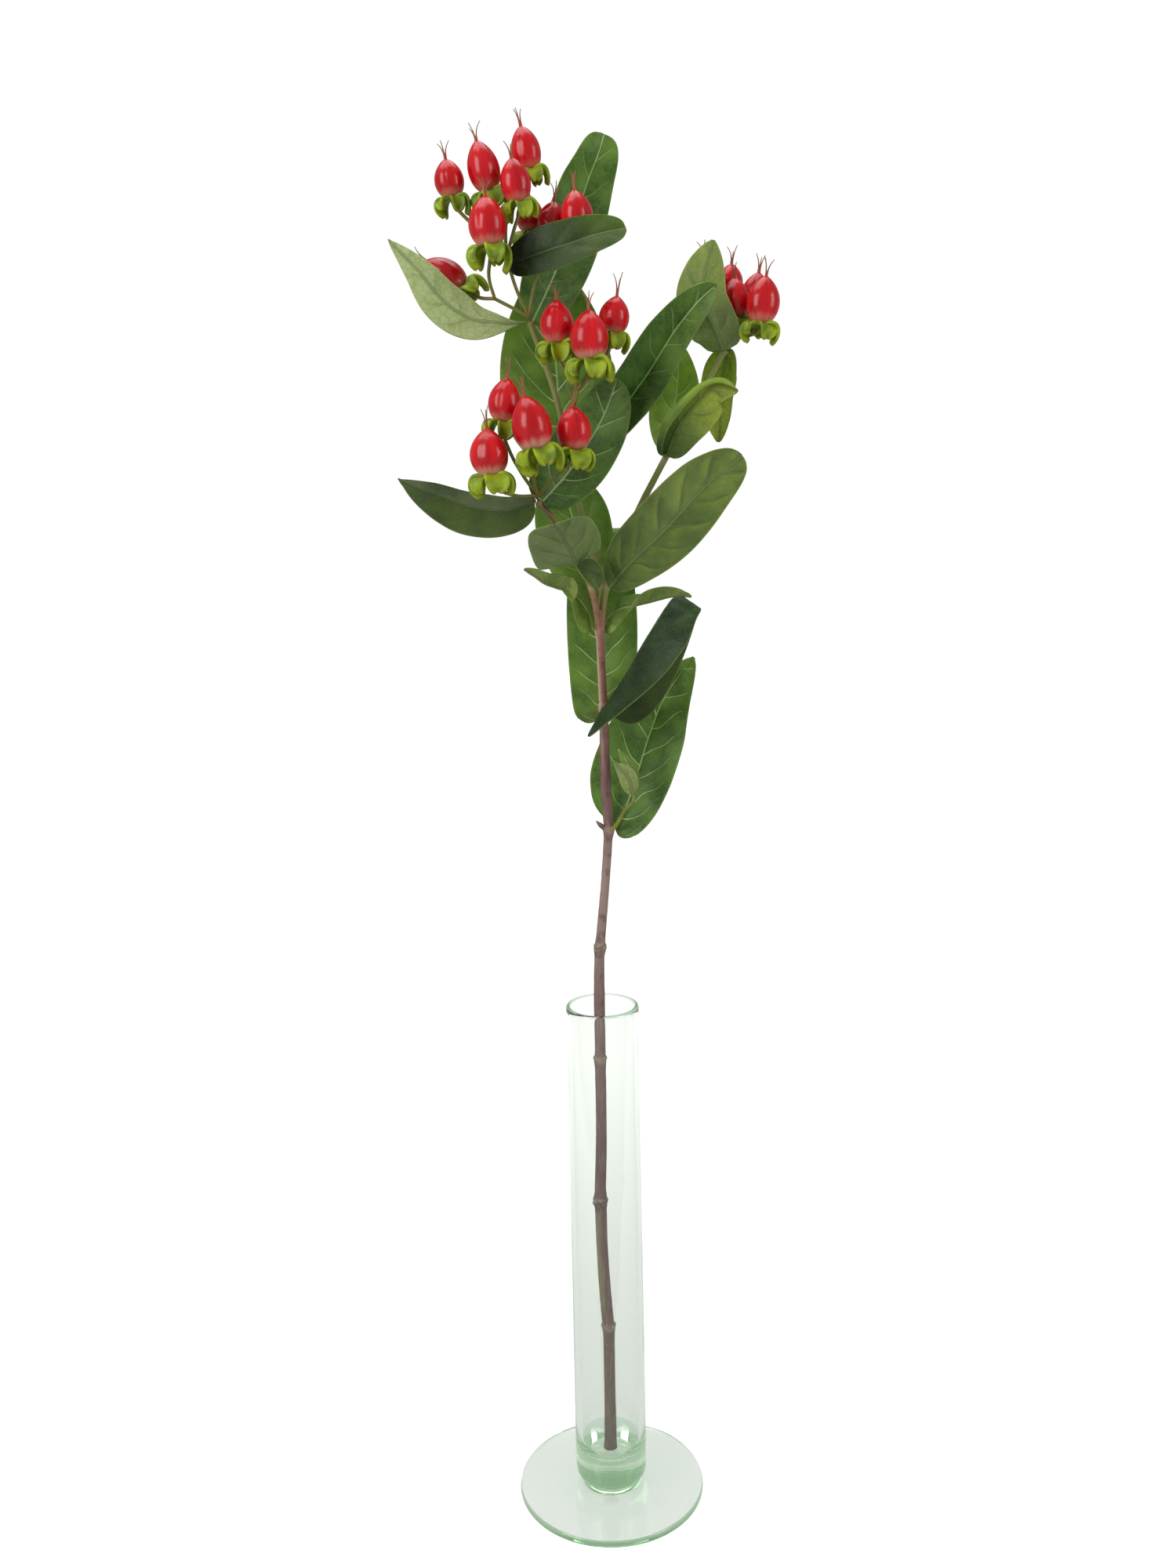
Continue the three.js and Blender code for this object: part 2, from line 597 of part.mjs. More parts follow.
// ---- stalks and calyces: each spray of stalks is one green body ----
// paths: places along each stalk, the first one inside the piece it grows from; a path with a
// berry ends in that berry's calyx.
const sprays = {
  stalks_top: [
    { path: [[-21, 3.9, 455.8], [-27, 3, 459], [-33, 2, 462]] },
    { path: [[-32.6, 2, 461.8], [-34, -4, 468]], berry: "berry_05" },
    { path: [[-32.6, 2, 461.8], [-38, 3.5, 462.5]], berry: "berry_09" },
    { path: [[-21, 3.9, 456], [-25, 1.5, 465], [-28, 0, 475.5]] },
    { path: [[-28, 0, 475], [-25, -4, 483]], berry: "berry_04" },
    { path: [[-28, 0, 475], [-24, 7, 480]], berry: "berry_06" },
    { path: [[-28, 0, 475], [-31, 0, 486]], berry: "berry_02" },
    { path: [[-28, 0, 475], [-38, 2, 485]], berry: "berry_01" },
    { path: [[-28, 0, 475], [-28, 4.5, 487], [-26, 5, 497]], berry: "berry_03" },
    { path: [[-21, 3.9, 456], [-18.5, 3, 467], [-16, 4, 474.5]] },
    { path: [[-16, 4, 474]], berry: "berry_07" },
    { path: [[-16.2, 4, 473.5], [-9, 2, 476]], berry: "berry_08" },
  ],
  stalks_middle: [
    { path: [[-8.8, 6.6, 407.6], [-8.4, 2, 415], [-4, -4, 430.5]] },
    { path: [[-4, -4, 430], [-9, -4.5, 437]], berry: "berry_10" },
    { path: [[-4, -4, 430]], berry: "berry_11" },
    { path: [[-4, -4, 430], [5, -3.5, 439]], berry: "berry_12" },
  ],
  stalks_left: [
    { path: [[-19, -11.4, 393.8], [-27, -18, 394]], berry: "berry_15" },
    { path: [[-19, -11.4, 393.6], [-20, -18, 399]], berry: "berry_14" },
    { path: [[-19, -11.4, 393.8], [-24, -13, 401], [-28.5, -17, 410]], berry: "berry_13" },
    { path: [[-19, -11.4, 393.6], [-14, -15, 399]], berry: "berry_16" },
  ],
  stalks_right: [
    { path: [[49.5, 1.7, 445], [54, 0.6, 447.5]] },
    { path: [[53.5, 0.8, 447.3]], berry: "berry_20" },
    { path: [[49.5, 1.7, 445.2]], berry: "berry_18" },
    { path: [[53.5, 0.8, 447.3], [56, 4, 450.5]], berry: "berry_19" },
    { path: [[49.5, 1.7, 445], [50, 8, 452]], berry: "berry_17" },
    { path: [[49.5, 1.7, 445], [46, 5, 454]], berry: "berry_21" },
  ],
};

// Five plump rounded sepals bent back below a berry, joined at a small round seat.
function calyxSolid(berry) {
  const axis = vec(berry.tip).sub(vec(berry.base)).normalize();
  const [across, third] = frameOf(axis);
  const size = berry.width / 11;
  const seat = vec(berry.base).addScaledVector(axis, -0.3);
  // Each ring: radius and height at the gap between two sepals, and at a sepal.
  const rings = [
    [1.8, 0, 1.8, 0],
    [4.1, -1.2, 4.7, -1.3],
    [4.4, -2.6, 5.1, -3.6],
    [3.9, -3.6, 4.6, -5.6],
    [3, -3.2, 3.7, -5],
    [0.9, -2.1, 0.9, -2.1],
  ].map(([gapRadius, gapHeight, radius, height]) => {
    const ring = [];
    for (let j = 0; j < 15; j++) {
      const angle = (2 * Math.PI * (j - 0.2 * (j % 3 === 1) + 0.2 * (j % 3 === 2))) / 15;
      const reach = (j % 3 ? radius : gapRadius) * size;
      const place = seat.clone().addScaledVector(axis, (j % 3 ? height : gapHeight) * size);
      place.addScaledVector(across, Math.cos(angle) * reach);
      place.addScaledVector(third, Math.sin(angle) * reach);
      ring.push(place);
    }
    return ring;
  });
  return skin(rings);
}

function addSprays() {
  for (const [name, spray] of Object.entries(sprays)) {
    const parts = [];
    for (const stalk of spray) {
      const path = [...stalk.path];
      if (stalk.berry) {
        const { base, tip, width } = berries[stalk.berry];
        parts.push(calyxSolid(berries[stalk.berry]));
        const down = vec(base).sub(vec(tip)).setLength(0.15 * width);
        const end = vec(base).add(down);
        path.push([end.x, end.y, end.z]);
      }
      const places = path.map((p) => [...p, stalkRadius]);
      parts.push(branch(places, 4));
    }
    addNode(name, united(parts), colours.stalk, { roughness: 0.5 });
  }
}

addVase();
addStem();
addLeaves();
addShoot();
addBerries();
addSprays();

export default group;
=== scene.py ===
import random
from functools import partial
from math import atan2, cos, exp, hypot, pi, radians, sin

import bpy
from mathutils import Matrix, Vector, kdtree
from mathutils.noise import noise


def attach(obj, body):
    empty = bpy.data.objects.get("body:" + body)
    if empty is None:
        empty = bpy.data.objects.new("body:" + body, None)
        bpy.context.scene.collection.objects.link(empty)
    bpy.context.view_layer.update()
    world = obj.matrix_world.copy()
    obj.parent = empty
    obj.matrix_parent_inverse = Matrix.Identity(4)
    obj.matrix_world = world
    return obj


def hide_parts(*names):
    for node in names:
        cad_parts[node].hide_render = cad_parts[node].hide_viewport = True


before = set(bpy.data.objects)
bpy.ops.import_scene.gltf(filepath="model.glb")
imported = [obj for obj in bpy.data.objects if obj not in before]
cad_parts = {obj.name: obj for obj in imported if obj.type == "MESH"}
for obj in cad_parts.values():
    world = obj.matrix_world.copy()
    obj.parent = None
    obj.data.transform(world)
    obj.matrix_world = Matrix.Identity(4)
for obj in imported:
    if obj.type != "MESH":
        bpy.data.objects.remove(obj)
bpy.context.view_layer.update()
mm = 0.001  # one millimetre, in metres
smooth = {"interpolation_type": "SMOOTHSTEP"}  # settings that many nodes share
times = {"operation": "MULTIPLY"}
timesPlus = {"operation": "MULTIPLY_ADD"}
rgba = {"data_type": "RGBA"}


def linear(hexColour):  # an sRGB colour such as "C4202E" as linear light, with alpha
    channels = [int(hexColour[i : i + 2], 16) / 255 for i in (0, 2, 4)]
    return [c / 12.92 if c <= 0.04045 else ((c + 0.055) / 1.055) ** 2.4 for c in channels] + [1]


# Adds one node. Its inputs are listed in the order that the node shows them, or named; each is
# a value, a colour as hex, a socket, or a node, which is linked by its first output.
def addNode(tree, kind, inputs=(), **settings):
    node = tree.nodes.new("ShaderNode" + kind)
    for key, value in settings.items():
        if key == "stops":  # of a colour ramp, which starts with two
            ramp = node.color_ramp.elements
            for i, (at, colour) in enumerate(value):
                stop = ramp[i] if i < 2 else ramp.new(at)
                stop.position, stop.color = at, linear(colour)
        else:
            setattr(node, key, value)
    if isinstance(inputs, dict):
        pairs = [(node.inputs[key], value) for key, value in inputs.items()]
    else:
        pairs = zip([socket for socket in node.inputs if socket.enabled], inputs)
    for socket, value in pairs:
        if isinstance(value, bpy.types.Node):
            value = next(output for output in value.outputs if output.enabled)
        if isinstance(value, bpy.types.NodeSocket):
            tree.links.new(value, socket)
        else:
            socket.default_value = linear(value) if isinstance(value, str) else value
    return node


def newMaterial(name):  # an empty material, and addNode for its tree
    material = bpy.data.materials.new(name)
    material.use_nodes = True
    material.node_tree.nodes.clear()
    return material, partial(addNode, material.node_tree)


def select(*pieces):  # these alone, the first of them active
    bpy.ops.object.select_all(action="DESELECT")
    for piece in pieces:
        piece.select_set(True)
        bpy.context.view_layer.objects.active = pieces[0]


def applyModifiers(piece):
    select(piece)
    for modifier in list(piece.modifiers):
        bpy.ops.object.modifier_apply(modifier=modifier.name)


def smoothed(piece, degrees, *materials):  # given its material, and shaded smooth
    for material in materials:
        piece.data.materials.append(material)
    select(piece)
    bpy.ops.object.shade_smooth_by_angle(angle=radians(degrees))


def joinPieces(name, pieces):
    select(*pieces)
    bpy.ops.object.join()
    pieces[0].name = name
    return pieces[0]


def addObject(name, data):
    piece = bpy.data.objects.new(name, data)
    bpy.context.scene.collection.objects.link(piece)
    return piece


def copyPiece(piece, name, matrix):  # a copy with its own mesh, its place in the mesh
    copy = addObject(name, piece.data.copy())
    copy.data.transform(matrix)
    return copy


def addGrid(name, rows, half):  # a flat sheet of one metre with twice half its columns
    select()
    bpy.ops.mesh.primitive_grid_add(
        x_subdivisions=2 * half, y_subdivisions=rows, size=1, location=(0, 0, 0))
    piece = bpy.context.object
    piece.name = name
    return piece


def paint(piece, name, values):  # a vector at each vertex, for the materials to read
    layer = piece.data.attributes.new(name, "FLOAT_VECTOR", "POINT")
    layer.data.foreach_set("vector", [number for value in values for number in value])


def place(piece, slot, *replaced):
    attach(piece, "root")
    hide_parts(*replaced)


def bump(t, middle, width):  # 1 at the middle, falling away smoothly
    return exp(-(((t - middle) / width) ** 2))


def ease(t, start, end):  # 0 before start, 1 after end, smooth between
    t = min(max((t - start) / (end - start), 0), 1)
    return t * t * (3 - 2 * t)


def mix(a, b, share):
    return a + (b - a) * share


# Points along a smooth curve through the places, with how far along each one lies.
def smoothPath(places, perSpan=24):
    ends = [2 * places[0] - places[1], *places, 2 * places[-1] - places[-2]]
    points = []
    for i in range(len(places) - 1):
        a, b, c, d = ends[i : i + 4]
        for k in range(perSpan):
            s = k / perSpan
            bend = (2 * a - 5 * b + 4 * c - d) * s * s + (3 * b - a - 3 * c + d) * s**3
            points.append(b + ((c - a) * s + bend) / 2)
    points.append(places[-1].copy())
    reach = [0]
    for p, q in zip(points, points[1:]):
        reach.append(reach[-1] + (q - p).length)
    return points, reach


def pathAt(path, t):  # the place at share t of a path's length
    points, reach = path
    goal = min(max(t, 0), 1) * reach[-1]
    low, high = 0, len(reach) - 1
    while high - low > 1:
        middle = (low + high) // 2
        low, high = (middle, high) if reach[middle] <= goal else (low, middle)
    return points[low].lerp(points[high], (goal - reach[low]) / (reach[high] - reach[low]))


# A smooth closed tube through places given as x, y, z and radius in millimetres.
def addTube(name, places, corners, steps):
    select()
    bpy.ops.curve.primitive_bezier_curve_add(location=(0, 0, 0))
    tube = bpy.context.object
    tube.name = name
    curve = tube.data
    curve.dimensions = "3D"
    curve.bevel_depth = mm
    curve.bevel_resolution = corners
    curve.resolution_u = steps
    curve.use_fill_caps = True
    points = curve.splines[0].bezier_points
    points.add(len(places) - 2)
    for point, (x, y, z, radius) in zip(points, places):
        point.co = (x * mm, y * mm, z * mm)
        point.radius = radius
        point.handle_left_type = point.handle_right_type = "AUTO"
    bpy.ops.object.convert(target="MESH")
    return bpy.context.object


studio = {
    "camera": (-3.64, -504.5, 380.9),  # millimetres
    "pitch": 79.72,
    "roll": -1.22,
    "lens": 31.84,
    "nearest": 0.01,  # metres
    "world": (0.36, 0.8),  # the soft light from all around, and how bright glass shows it
    "floorSize": 9,  # metres
    "floorDrop": 0.3,  # millimetres below the foot
    "seenWhite": 1.02,  # how bright the white room and paper show
    "litWhite": 0.3,  # how much the paper lights the rest
    "behindGlass": (0.57, 1.02),  # how bright it shows in the glass, near the vase and far off
    "paper": ("7C7C7A", "868684"),
    "paperGrain": 900,  # tufts to a metre, drawn coarse enough to show
}
softLights = {  # place and aim in millimetres, width and height in millimetres, watts
    "leftWindow": ((-880, -760, 760), (0, 0, 330), (560, 950), 8.5),
    "rightWindow": ((960, -560, 640), (0, 0, 330), (420, 850), 4.6),
    "topSheet": ((-150, 200, 1400), (0, 0, 330), (1200, 800), 8),
}


def addCamera():
    data = bpy.data.cameras.new("view")
    camera = addObject("view", data)
    data.lens = studio["lens"]
    data.clip_start = studio["nearest"]
    tilt = Matrix.Rotation(radians(studio["pitch"]), 4, "X")
    roll = Matrix.Rotation(radians(studio["roll"]), 4, "Z")
    camera.matrix_world = Matrix.Translation(Vector(studio["camera"]) * mm) @ tilt @ roll
    bpy.context.scene.camera = camera


# How strongly the room and the paper shine: white to the camera, one level to rays that only
# passed through glass, and a dimmer one to the rest.
def addGlow(add, dim, throughGlass):
    ray = add("LightPath")
    direct = add("Math", [ray.outputs["Diffuse Depth"], 0.5], operation="LESS_THAN")
    clear = add("Math", [ray.outputs["Is Singular Ray"], direct], **times)
    level = add("Mix", [clear, dim, throughGlass])
    return add("Mix", [ray.outputs["Is Camera Ray"], level, studio["seenWhite"]])


def addLights():
    for name, (at, aim, size, watts) in softLights.items():
        data = bpy.data.lights.new(name, "AREA")
        data.shape = "RECTANGLE"
        data.size, data.size_y = size[0] * mm, size[1] * mm
        data.energy = watts
        light = addObject(name, data)
        light.location = Vector(at) * mm
        light.rotation_euler = (Vector(aim) - Vector(at)).to_track_quat("-Z", "Y").to_euler()
        light.visible_camera = False
    world = bpy.data.worlds.new("white_room")
    bpy.context.scene.world = world
    world.use_nodes = True
    world.node_tree.nodes.clear()
    add = partial(addNode, world.node_tree)
    glow = addGlow(add, *studio["world"])
    add("OutputWorld", [add("Background", {"Color": "FFFFFF", "Strength": glow})])
    bpy.context.scene.view_settings.view_transform = "Standard"


def addFloor():  # a sheet of matt white paper, lit until it shows white
    bpy.ops.mesh.primitive_plane_add(
        size=studio["floorSize"], location=(0, 0, -studio["floorDrop"] * mm))
    sheet = bpy.context.object
    sheet.name = "paper_floor"
    bpy.ops.object.transform_apply(location=True, rotation=True, scale=True)
    material, add = newMaterial("matt_white_paper")
    spot = add("TexCoord").outputs["Object"]
    grain = add("TexNoise", {"Vector": spot, "Scale": studio["paperGrain"]})
    y = add("SeparateXYZ", [spot]).outputs["Y"]
    behind = add("MapRange", [y, 0, 0.5, *studio["behindGlass"]], **smooth)
    add("OutputMaterial", [add("BsdfPrincipled", {
        "Base Color": add("Mix", [grain, *studio["paper"]], **rgba), "Roughness": 0.9,
        "Specular IOR Level": 0.05, "Emission Color": "FFFFFF",
        "Emission Strength": addGlow(add, studio["litWhite"], behind)})])
    sheet.data.materials.append(material)


addCamera()
addLights()
addFloor()
print("studio: camera, three soft lights and a paper floor")


vase = {
    "sides": 128,
    "sway": 0.07,  # how far the drawn wall wanders, in millimetres
    "nip": 0.25,  # how deep the foot's edge was nipped, in millimetres
    "tint": "B4D8AE",
    "density": 38,
    "bounces": 4.5,  # light caught between the faces leaves after this many
    "drawLines": (90, 90, 14),  # to a metre: 11 mm apart round the tube, and long up it
    "outline": [  # radius and height, from under the foot round to the floor of the tube
        (0.4, 0), (20, 0), (36.2, 0), (36.8, 0.3), (37, 1), (36.9, 2.2), (36.5, 2.8),
        (35.8, 3), (30, 3.2), (22, 3.4), (16, 3.6), (13, 4), (11.9, 4.5), (11.5, 5),
        (11.7, 5.6), (12.5, 6.3), (13.3, 7), (13.8, 8), (14.1, 9.4), (14.2, 15), (14.2, 30),
        (14.1, 60), (14, 90), (13.9, 120), (13.7, 160), (13.5, 190), (13.7, 198),
        (14, 202.4), (13.9, 203.4), (13.4, 204), (12.7, 204), (12.1, 203.6), (11.8, 202),
        (11.6, 198), (11.5, 180), (11.5, 150), (11.5, 120), (11.5, 90), (11.5, 60), (11.5, 32),
        (11.5, 24.2), (11.2, 22), (10.5, 19.7), (9.4, 18.2), (8, 17.2), (6, 16.4), (3, 16.2),
        (0.4, 16.2),
    ],
}


def cutCorners(outline, rounds):  # a finer outline with each corner rounded off
    for _ in range(rounds):
        finer = [outline[0]]
        for (r, z), (s, h) in zip(outline, outline[1:]):
            finer += [(mix(r, s, 0.25), mix(z, h, 0.25)), (mix(r, s, 0.75), mix(z, h, 0.75))]
        outline = finer + [outline[-1]]
    return outline


def clearGlass():
    # Hand-drawn soda-lime glass: smooth as water, faintly green where it is thick.
    material, add = newMaterial("drawn_soda_lime_glass")
    spot = add("TexCoord").outputs["Object"]
    drawn = add("Mapping", {"Vector": spot, "Scale": vase["drawLines"]})
    streak = add("TexNoise", {"Vector": drawn, "Scale": 1})
    glass = add("BsdfPrincipled", {
        "Base Color": "FDFEFD", "Transmission Weight": 1, "Roughness": 0, "IOR": 1.5,
        "Normal": add("Bump", {"Strength": 0.25, "Distance": 0.4 * mm, "Height": streak})})
    through = add("BsdfTransparent", ["F3FAF6"])
    ray = add("LightPath")
    trapped = add("Math", [ray.outputs["Ray Depth"], vase["bounces"]], operation="GREATER_THAN")
    straight = add("Math", [ray.outputs["Is Shadow Ray"], trapped], operation="MAXIMUM")
    add("OutputMaterial", {
        "Surface": add("MixShader", [straight, glass, through]),
        "Volume": add("VolumeAbsorption", {"Color": vase["tint"], "Density": vase["density"]})})
    return material


def makeVase():
    outline = cutCorners(vase["outline"], 2)
    shape = bpy.ops.mesh
    select()
    radius, height = outline[0]
    shape.primitive_circle_add(
        vertices=vase["sides"], radius=radius * mm, location=(0, 0, height * mm), fill_type="NGON")
    body = bpy.context.object
    body.name = "glass_vase"
    bpy.ops.object.transform_apply(location=True, rotation=True, scale=True)
    bpy.ops.object.mode_set(mode="EDIT")
    shape.select_mode(type="EDGE")
    shape.select_all(action="SELECT")
    shape.region_to_loop()
    for (r, z), (s, h) in zip(outline, outline[1:]):
        shape.extrude_edges_move(TRANSFORM_OT_translate={"value": (0, 0, (h - z) * mm)})
        bpy.ops.transform.resize(value=(s / r, s / r, 1), center_override=(0, 0, h * mm))
    shape.edge_face_add()
    shape.select_all(action="SELECT")
    shape.normals_make_consistent(inside=False)
    bpy.ops.object.mode_set(mode="OBJECT")
    for v in body.data.vertices:
        x, y, z = v.co / mm
        around = hypot(x, y) or 1
        sway = noise(Vector((x / 9, y / 9, z / 26))) * vase["sway"] * ease(z, 6, 20)
        if z < 6:  # the foot's edge was nipped by hand and isn't quite round
            sway = -vase["nip"] * bump(atan2(y, -x), 0.1, 0.05) * ease(around, 34, 37)
            sway -= 0.1 * noise(Vector((x / 12, y / 12, 3))) ** 2 * ease(around, 30, 37)
        v.co.x += x / around * sway * mm
        v.co.y += y / around * sway * mm
    smoothed(body, 40, clearGlass())
    place(body, "glass", "vase")


makeVase()
print("vase: turned in glass, foot and tube in one")


# Each place is x, y, z and radius in millimetres; a swollen ring marks each leaf node.
branches = {
    "main": [
        (-0.3, 0, 16.7, 2.7), (-0.2, 0.3, 21, 2.4), (0, 1, 40, 2.3), (0, 2, 66, 2.3),
        (0, 2.1, 69.3, 2.8), (-0.3, 2.2, 72, 2.3), (-2, 3, 105, 2.3), (-2.2, 4, 119, 2.3),
        (-2.3, 4.1, 122.3, 2.9), (-2.2, 4.3, 126, 2.2), (-1.3, 5.6, 150, 2.2),
        (-1.2, 7, 176, 2.2), (-1.2, 7.2, 179.5, 2.6), (-1.1, 7.5, 183, 2.1), (-1, 9, 204, 2.1),
        (-0.6, 10, 220, 1.9), (-0.3, 10.2, 223.7, 2.5), (0, 10.4, 227, 1.8), (2, 11.6, 247, 1.6),
        (3.6, 12, 266, 1.7), (3.9, 12, 269.5, 2.3), (3.8, 12, 272, 1.9), (3, 12, 290, 1.9),
        (2.8, 12, 313, 1.7), (2.7, 12, 316.5, 2.1), (2.6, 11.8, 319, 1.6), (2, 11.2, 342, 1.5),
        (1.9, 11, 345.3, 2), (2, 11, 347.5, 1.4),
    ],
    "left": [
        (2, 11, 345, 1.2), (-1, 5, 361, 1.15), (-4.5, 1, 369.5, 1.1), (-6, 0, 371.7, 1.5),
        (-7.5, -1.5, 374, 1), (-14, -8, 386, 0.95), (-18, -10, 390.5, 1), (-19, -10.3, 391.8, 1.4),
    ],
    "middle": [
        (2.2, 11, 345, 1.3), (3, 12, 358.5, 1.2), (3, 12, 361, 1.6), (2.6, 11.9, 363.5, 1.1),
        (-5, 10, 392, 1.1), (-7.5, 9.1, 403.5, 1.1), (-8, 9, 406, 1.5), (-8.6, 8.7, 408.5, 1),
        (-11, 7.5, 424, 1), (-17, 5, 444, 1), (-20, 4.2, 452, 1), (-20.6, 4, 454, 1.4),
    ],
    "right": [
        (2.4, 11, 345, 1.2), (4.5, 9.5, 360, 1.2), (10, 7.5, 374, 1.15), (17, 6, 389, 1.15),
        (24, 5, 402, 1.1), (26.7, 5, 406.8, 1.1), (28, 5, 409, 1.6), (29.4, 5, 411.3, 1.05),
        (36, 5, 422, 1), (44, 4, 436, 0.95), (47, 2.6, 441.5, 1), (48, 2, 443, 1.4),
    ],
}
stem = {
    "voxel": 0.36,  # millimetres
    "swell": 0.1,  # the bark's own thickness
    "ridge": 0.16,  # how far the bark's long ridges stand
    "green": {"left": 0.35, "middle": 0.9, "right": 1},  # how green each branch is
    "scars": [69.3, 122.3, 179.5, 223.7, 269.5, 316.5, 345.3],  # heights of the old leaf nodes
    "sooty": (69.3, 179.5, 223.7),  # of these, the stained ones, besides the knotted one
    "knot": 122,
    "rings": (361, 371.7, 406, 409),  # heights of the branches' own nodes
    "bud": [(3, 12, 269.4, 1.1), (0.6, 10.9, 271.6, 0.9), (-0.8, 10.2, 273.2, 0.25)],
    "fibres": 9,
    "zones": [  # share of 400 mm up the stem, and the bark's colour there
        (0, "5C4A3C"), (1, "8E5C4C"), (0.08, "5A463A"), (0.165, "583C34"), (0.25, "542F2D"),
        (0.35, "4E292A"), (0.47, "6C4A48"), (0.55, "86706A"), (0.63, "988076"), (0.68, "7E6058"),
        (0.74, "704646"), (0.84, "9A6654"),
    ],
}


def barkMaterial():
    # Young shrub bark: a thin matt skin, ridged along the shoot, plum where the sun caught it.
    material, add = newMaterial("thin_ridged_bark")
    spot = add("TexCoord").outputs["Object"]
    z = add("SeparateXYZ", [spot]).outputs["Z"]
    drawn = add("Mapping", {"Vector": spot, "Scale": (1, 1, 0.07)})  # ridges run along the shoot
    streak = add("TexNoise", {"Vector": drawn, "Scale": 1500, "Detail": 4, "Roughness": 0.6})
    patch = add("TexNoise", {"Vector": spot, "Scale": 260, "Detail": 3})
    marks = add("Attribute", attribute_name="bark").outputs["Vector"]
    green, ringsAndLitStreak, soot = add("SeparateXYZ", [marks]).outputs
    colour = add("ValToRGB", [add("MapRange", [z, 0, 0.4])], stops=stem["zones"])
    for share, tint in (
        (add("MapRange", [streak, 0.42, 0.75, 0, 0.3], **smooth), "A8907A"),
        (add("MapRange", [patch, 0.5, 0.72, 0, 0.55], **smooth), "3A2A22"),
        # pale node rings, and a painted streak of light down the stem
        (green, "88904C"), (ringsAndLitStreak, "B4A486"), (soot, "2E241D"),
    ):
        colour = add("Mix", [share, colour, tint], **rgba)
    add("OutputMaterial", [add("BsdfPrincipled", {
        "Base Color": colour, "Roughness": add("MapRange", [patch, 0, 1, 0.45, 0.75]),
        "Normal": add("Bump", {"Strength": 0.6, "Distance": 0.12 * mm, "Height": streak})})])
    return material


# How far the bark stands out at a place, and how green, how pale and how sooty it is there. The
# pale is its pale node rings and, on the main stem, a painted streak of light.
def barkAt(p, branch, away):
    angle = atan2(away.y, away.x)
    ridge = noise(Vector((2.2 * cos(angle), 2.2 * sin(angle), p.z / 30)))
    out = stem["ridge"] * (ridge * 0.7 + noise(p / 2.4) * 0.35)
    pale = max(bump(p.z, h, 1.4) for h in stem["rings"]) * 0.5 * (p.z > 352)
    if branch != "main":
        return out, (stem["green"][branch] * ease(p.z, 345, 362), pale, 0)
    for k, height in enumerate(stem["scars"]):
        lips = 0.55 + 0.45 * cos(2 * angle + k * pi)  # leaves stand in pairs
        near = bump(p.z, height, 1.3)
        pale = max(pale, near * 0.35)
        out += 0.3 * lips * bump(p.z, height + 0.7, 0.5) - 0.2 * bump(p.z, height + 1.8, 0.5)
        out += 0.2 * near * noise(p / 0.8)
    knot = stem["knot"]
    out += 0.9 * bump(p.z, knot, 2.6) * max(noise(p / 1.1 + Vector((5, 0, 0))), 0)
    stain = 0.5 * max(bump(p.z, h, 2) for h in stem["sooty"])
    soot = max(0.9 * bump(p.z, knot, 2.8) * ease(noise(p / 1.5), -0.4, 0.2),
               stain * ease(noise(p / 1.2), -0.1, 0.3))
    olive = ease(-away.x, -0.5, 1.5) * (ease(p.z, 70, 82) - ease(p.z, 116, 121))
    # painted light: a pale streak where light falls on the stem's left front
    litStreak = bump(angle, -2.7 + 0.014 * (345 - p.z), 0.4)  # it runs down from the uppermost node
    return out, (0.3 * olive, max(pale, litStreak * ease(p.z, 285, 320)), soot)


def makeStem():
    tubes = [addTube(name, [(*p[:3], p[3] + stem["swell"]) for p in places], 4, 8)
             for name, places in branches.items()]
    body = joinPieces("woody_stem", tubes)
    remesh = body.modifiers.new("union", "REMESH")
    remesh.mode = "VOXEL"
    remesh.voxel_size = stem["voxel"] * mm
    applyModifiers(body)
    samples = [(p, name) for name, places in branches.items()
               for p in smoothPath([Vector(p[:3]) for p in places], 10)[0]]
    tree = kdtree.KDTree(len(samples))
    for i, (p, name) in enumerate(samples):
        tree.insert(p, i)
    tree.balance()
    body.data.update()
    normals = [v.normal.copy() for v in body.data.vertices]
    marks = []
    for v, normal in zip(body.data.vertices, normals):
        p = v.co / mm
        nearest, i, _ = tree.find(p)
        out, mark = barkAt(p, samples[i][1], p - nearest)
        v.co += normal * out * mm
        marks.append(mark)
    paint(body, "bark", marks)
    pieces = [body, addTube("bud", stem["bud"], 3, 6)]
    seeded = random.Random(4)
    for k in range(stem["fibres"]):  # torn fibres at the cut end
        turn = -0.9 + 0.28 * k + seeded.uniform(-0.1, 0.1)
        x, y = 2.1 * cos(turn), 2.1 * sin(turn)
        long = seeded.uniform(0.8, 2)
        pieces.append(addTube(f"fibre{k}", [
            (x - 0.3, y, 19, 0.35), (x, y, 17.6, 0.3),
            (x * (1 + 0.16 * long), y * (1 + 0.1 * long), 17.4 - 0.25 * long, 0.08)], 2, 4))
    body = joinPieces("woody_stem", pieces)
    smoothed(body, 60, barkMaterial())
    place(body, "stem", "stem")


makeStem()
print("stem: one body with its three branches, bark ridged")
